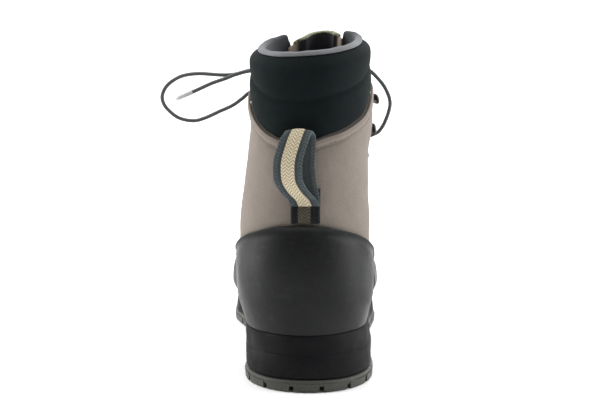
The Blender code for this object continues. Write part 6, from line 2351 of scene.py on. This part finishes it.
AT_HOOK = (
    (-edge - 0.8, -5.6, LACE_TOP - DIP),
    *((away, up, LACE_TOP) for away, up in ROUND_STEM),
    (-edge - 0.8, 5.6, LACE_TOP - DIP),
)


def at_fixing(height, setback, side, away, up, lift):
    """A place of the lace beside a fixing, as round share, level and distance out of the last."""
    u, v = beside_fixing(fixing(height, setback, side), side, away * MM, up * MM)
    return float(u % 1.0), float(v), lift


def over_tongue(start, end, lift):
    """Places across the tongue between two places at the throat's edges."""
    made = []
    for t in (0.22, 0.5, 0.78):
        u = start[0] + (end[0] - start[0]) * t
        v = start[1] + (end[1] - start[1]) * t
        made.append((u, v, LACE_LOW + lift * (1 - abs(2 * t - 1) ** 1.5)))
    return made


def half_lace(first_side):
    """The lace's half from the bottom pair's eyelet on one side up to its top hook, and the side where
    it ends. One half lies on top along the eyelets, the other along the hooks."""
    side = first_side
    route = [at_fixing(EYELET_HEIGHTS[0], EYELET_SETBACK, side, *stop) for stop in AT_FIRST]
    pairs = [(height, EYELET_SETBACK, AT_EYELET) for height in EYELET_HEIGHTS[1:]]
    pairs += [(height, HOOK_SETBACK, AT_HOOK) for height in HOOK_HEIGHTS]
    for height, setback, stops in pairs:
        side = -side
        on_top = (first_side > 0) == (stops is AT_EYELET)
        lift = (0.9 if on_top else -0.5) * LACE_DIAMETER / 2
        places = [at_fixing(height, setback, side, *stop) for stop in stops]
        route += over_tongue(route[-1], places[0], lift) + places
    return route[:-1], side


def on_last(route):
    """The points of a route of round shares, levels and distances out of the last."""
    u, v, lift = (np.array(values) for values in zip(*route))
    return last_point(u, v) + last_normal(u, v) * lift[:, None]


up_outer, end_side = half_lace(1)
up_inner, _ = half_lace(-1)
bar_start, bar_end = up_inner[0], up_outer[0]
bar_top = LACE_TOP - 0.3 * MM
bar = []
for t in (0.2, 0.4, 0.6, 0.8):
    sag = (bar_top - LACE_LOW) * math.sin(math.pi * t)
    bar.append((bar_start[0] + (bar_end[0] - bar_start[0]) * t, bar_start[1], bar_top - sag))
into_knot = KNOT_OUT * 0.2 * MM + KNOT_UP * 2.2 * MM
under_knot = KNOT - KNOT_UP * 4.2 * MM
first, last = (under_knot + KNOT_SIDE * (1.35 * MM * side) for side in (-end_side, end_side))
laced = in_row_frame(np.vstack([on_last(up_inner[::-1]), on_last(bar), on_last(up_outer)]))
stops = np.vstack([first + into_knot, first, laced, last, last + into_knot])
lacing_path = evenly(smooth_through(stops, 10), BOW_STEP)
lacing = link_piece("lacing", tube_mesh(lacing_path, LACE_DIAMETER / 2, braid=BRAID_RISE), LACE)
stands_for(lacing, ["lace_bar", *[f"lace_cross_{k}" for k in range(1, 7)], "lace_top"])
print(f"lacing: {travelled(lacing_path)[-1] / MM:.0f} mm of lace")

# %% [markdown]
# ## Knot
#
# The bow's knot is two turns of lace round the four that pass through it. The turns are a short helix
# whose ends dive inside, and the four lengths go on through it, so the bow looks tied rather than glued.

# %% Tie the knot
t = np.linspace(-0.15, 2.15, 70)
radius = (3.0 - 0.9 * ((t < 0) | (t > 2))) * MM
helix = (
    KNOT
    + KNOT_SIDE * ((t - 1.0) * 2.55 * MM)[:, None]
    + KNOT_OUT * (radius * np.cos(2 * math.pi * t))[:, None]
    + KNOT_UP * (radius * np.sin(2 * math.pi * t))[:, None]
)
parts = [tube_mesh(evenly(smooth_through(helix, 2), BOW_STEP), LACE_DIAMETER / 2, braid=BRAID_RISE)]
looped = [(path, end) for path in (inner_path, outer_path) for end in (0, -1)]
for path, end in looped + [(end_inner_path, 0), (end_outer_path, 0)]:
    start = path[end]
    before = path[3] if end == 0 else path[-4]
    way = unit(start - before)
    goal = KNOT + (start - KNOT) * np.array([0.15, 0.6, 0.6])
    line = smooth_through(np.array([start - way * 0.4 * MM, start + way * 1.2 * MM, goal]), 8)
    parts.append(tube_mesh(line, LACE_DIAMETER / 2 * 0.99, braid=BRAID_RISE))
knot = link_piece("bow_knot", several(parts), LACE)
stands_for(knot, "lace_knot")
print("knot is", [round(float(d) * 1000, 1) for d in knot.dimensions], "mm")
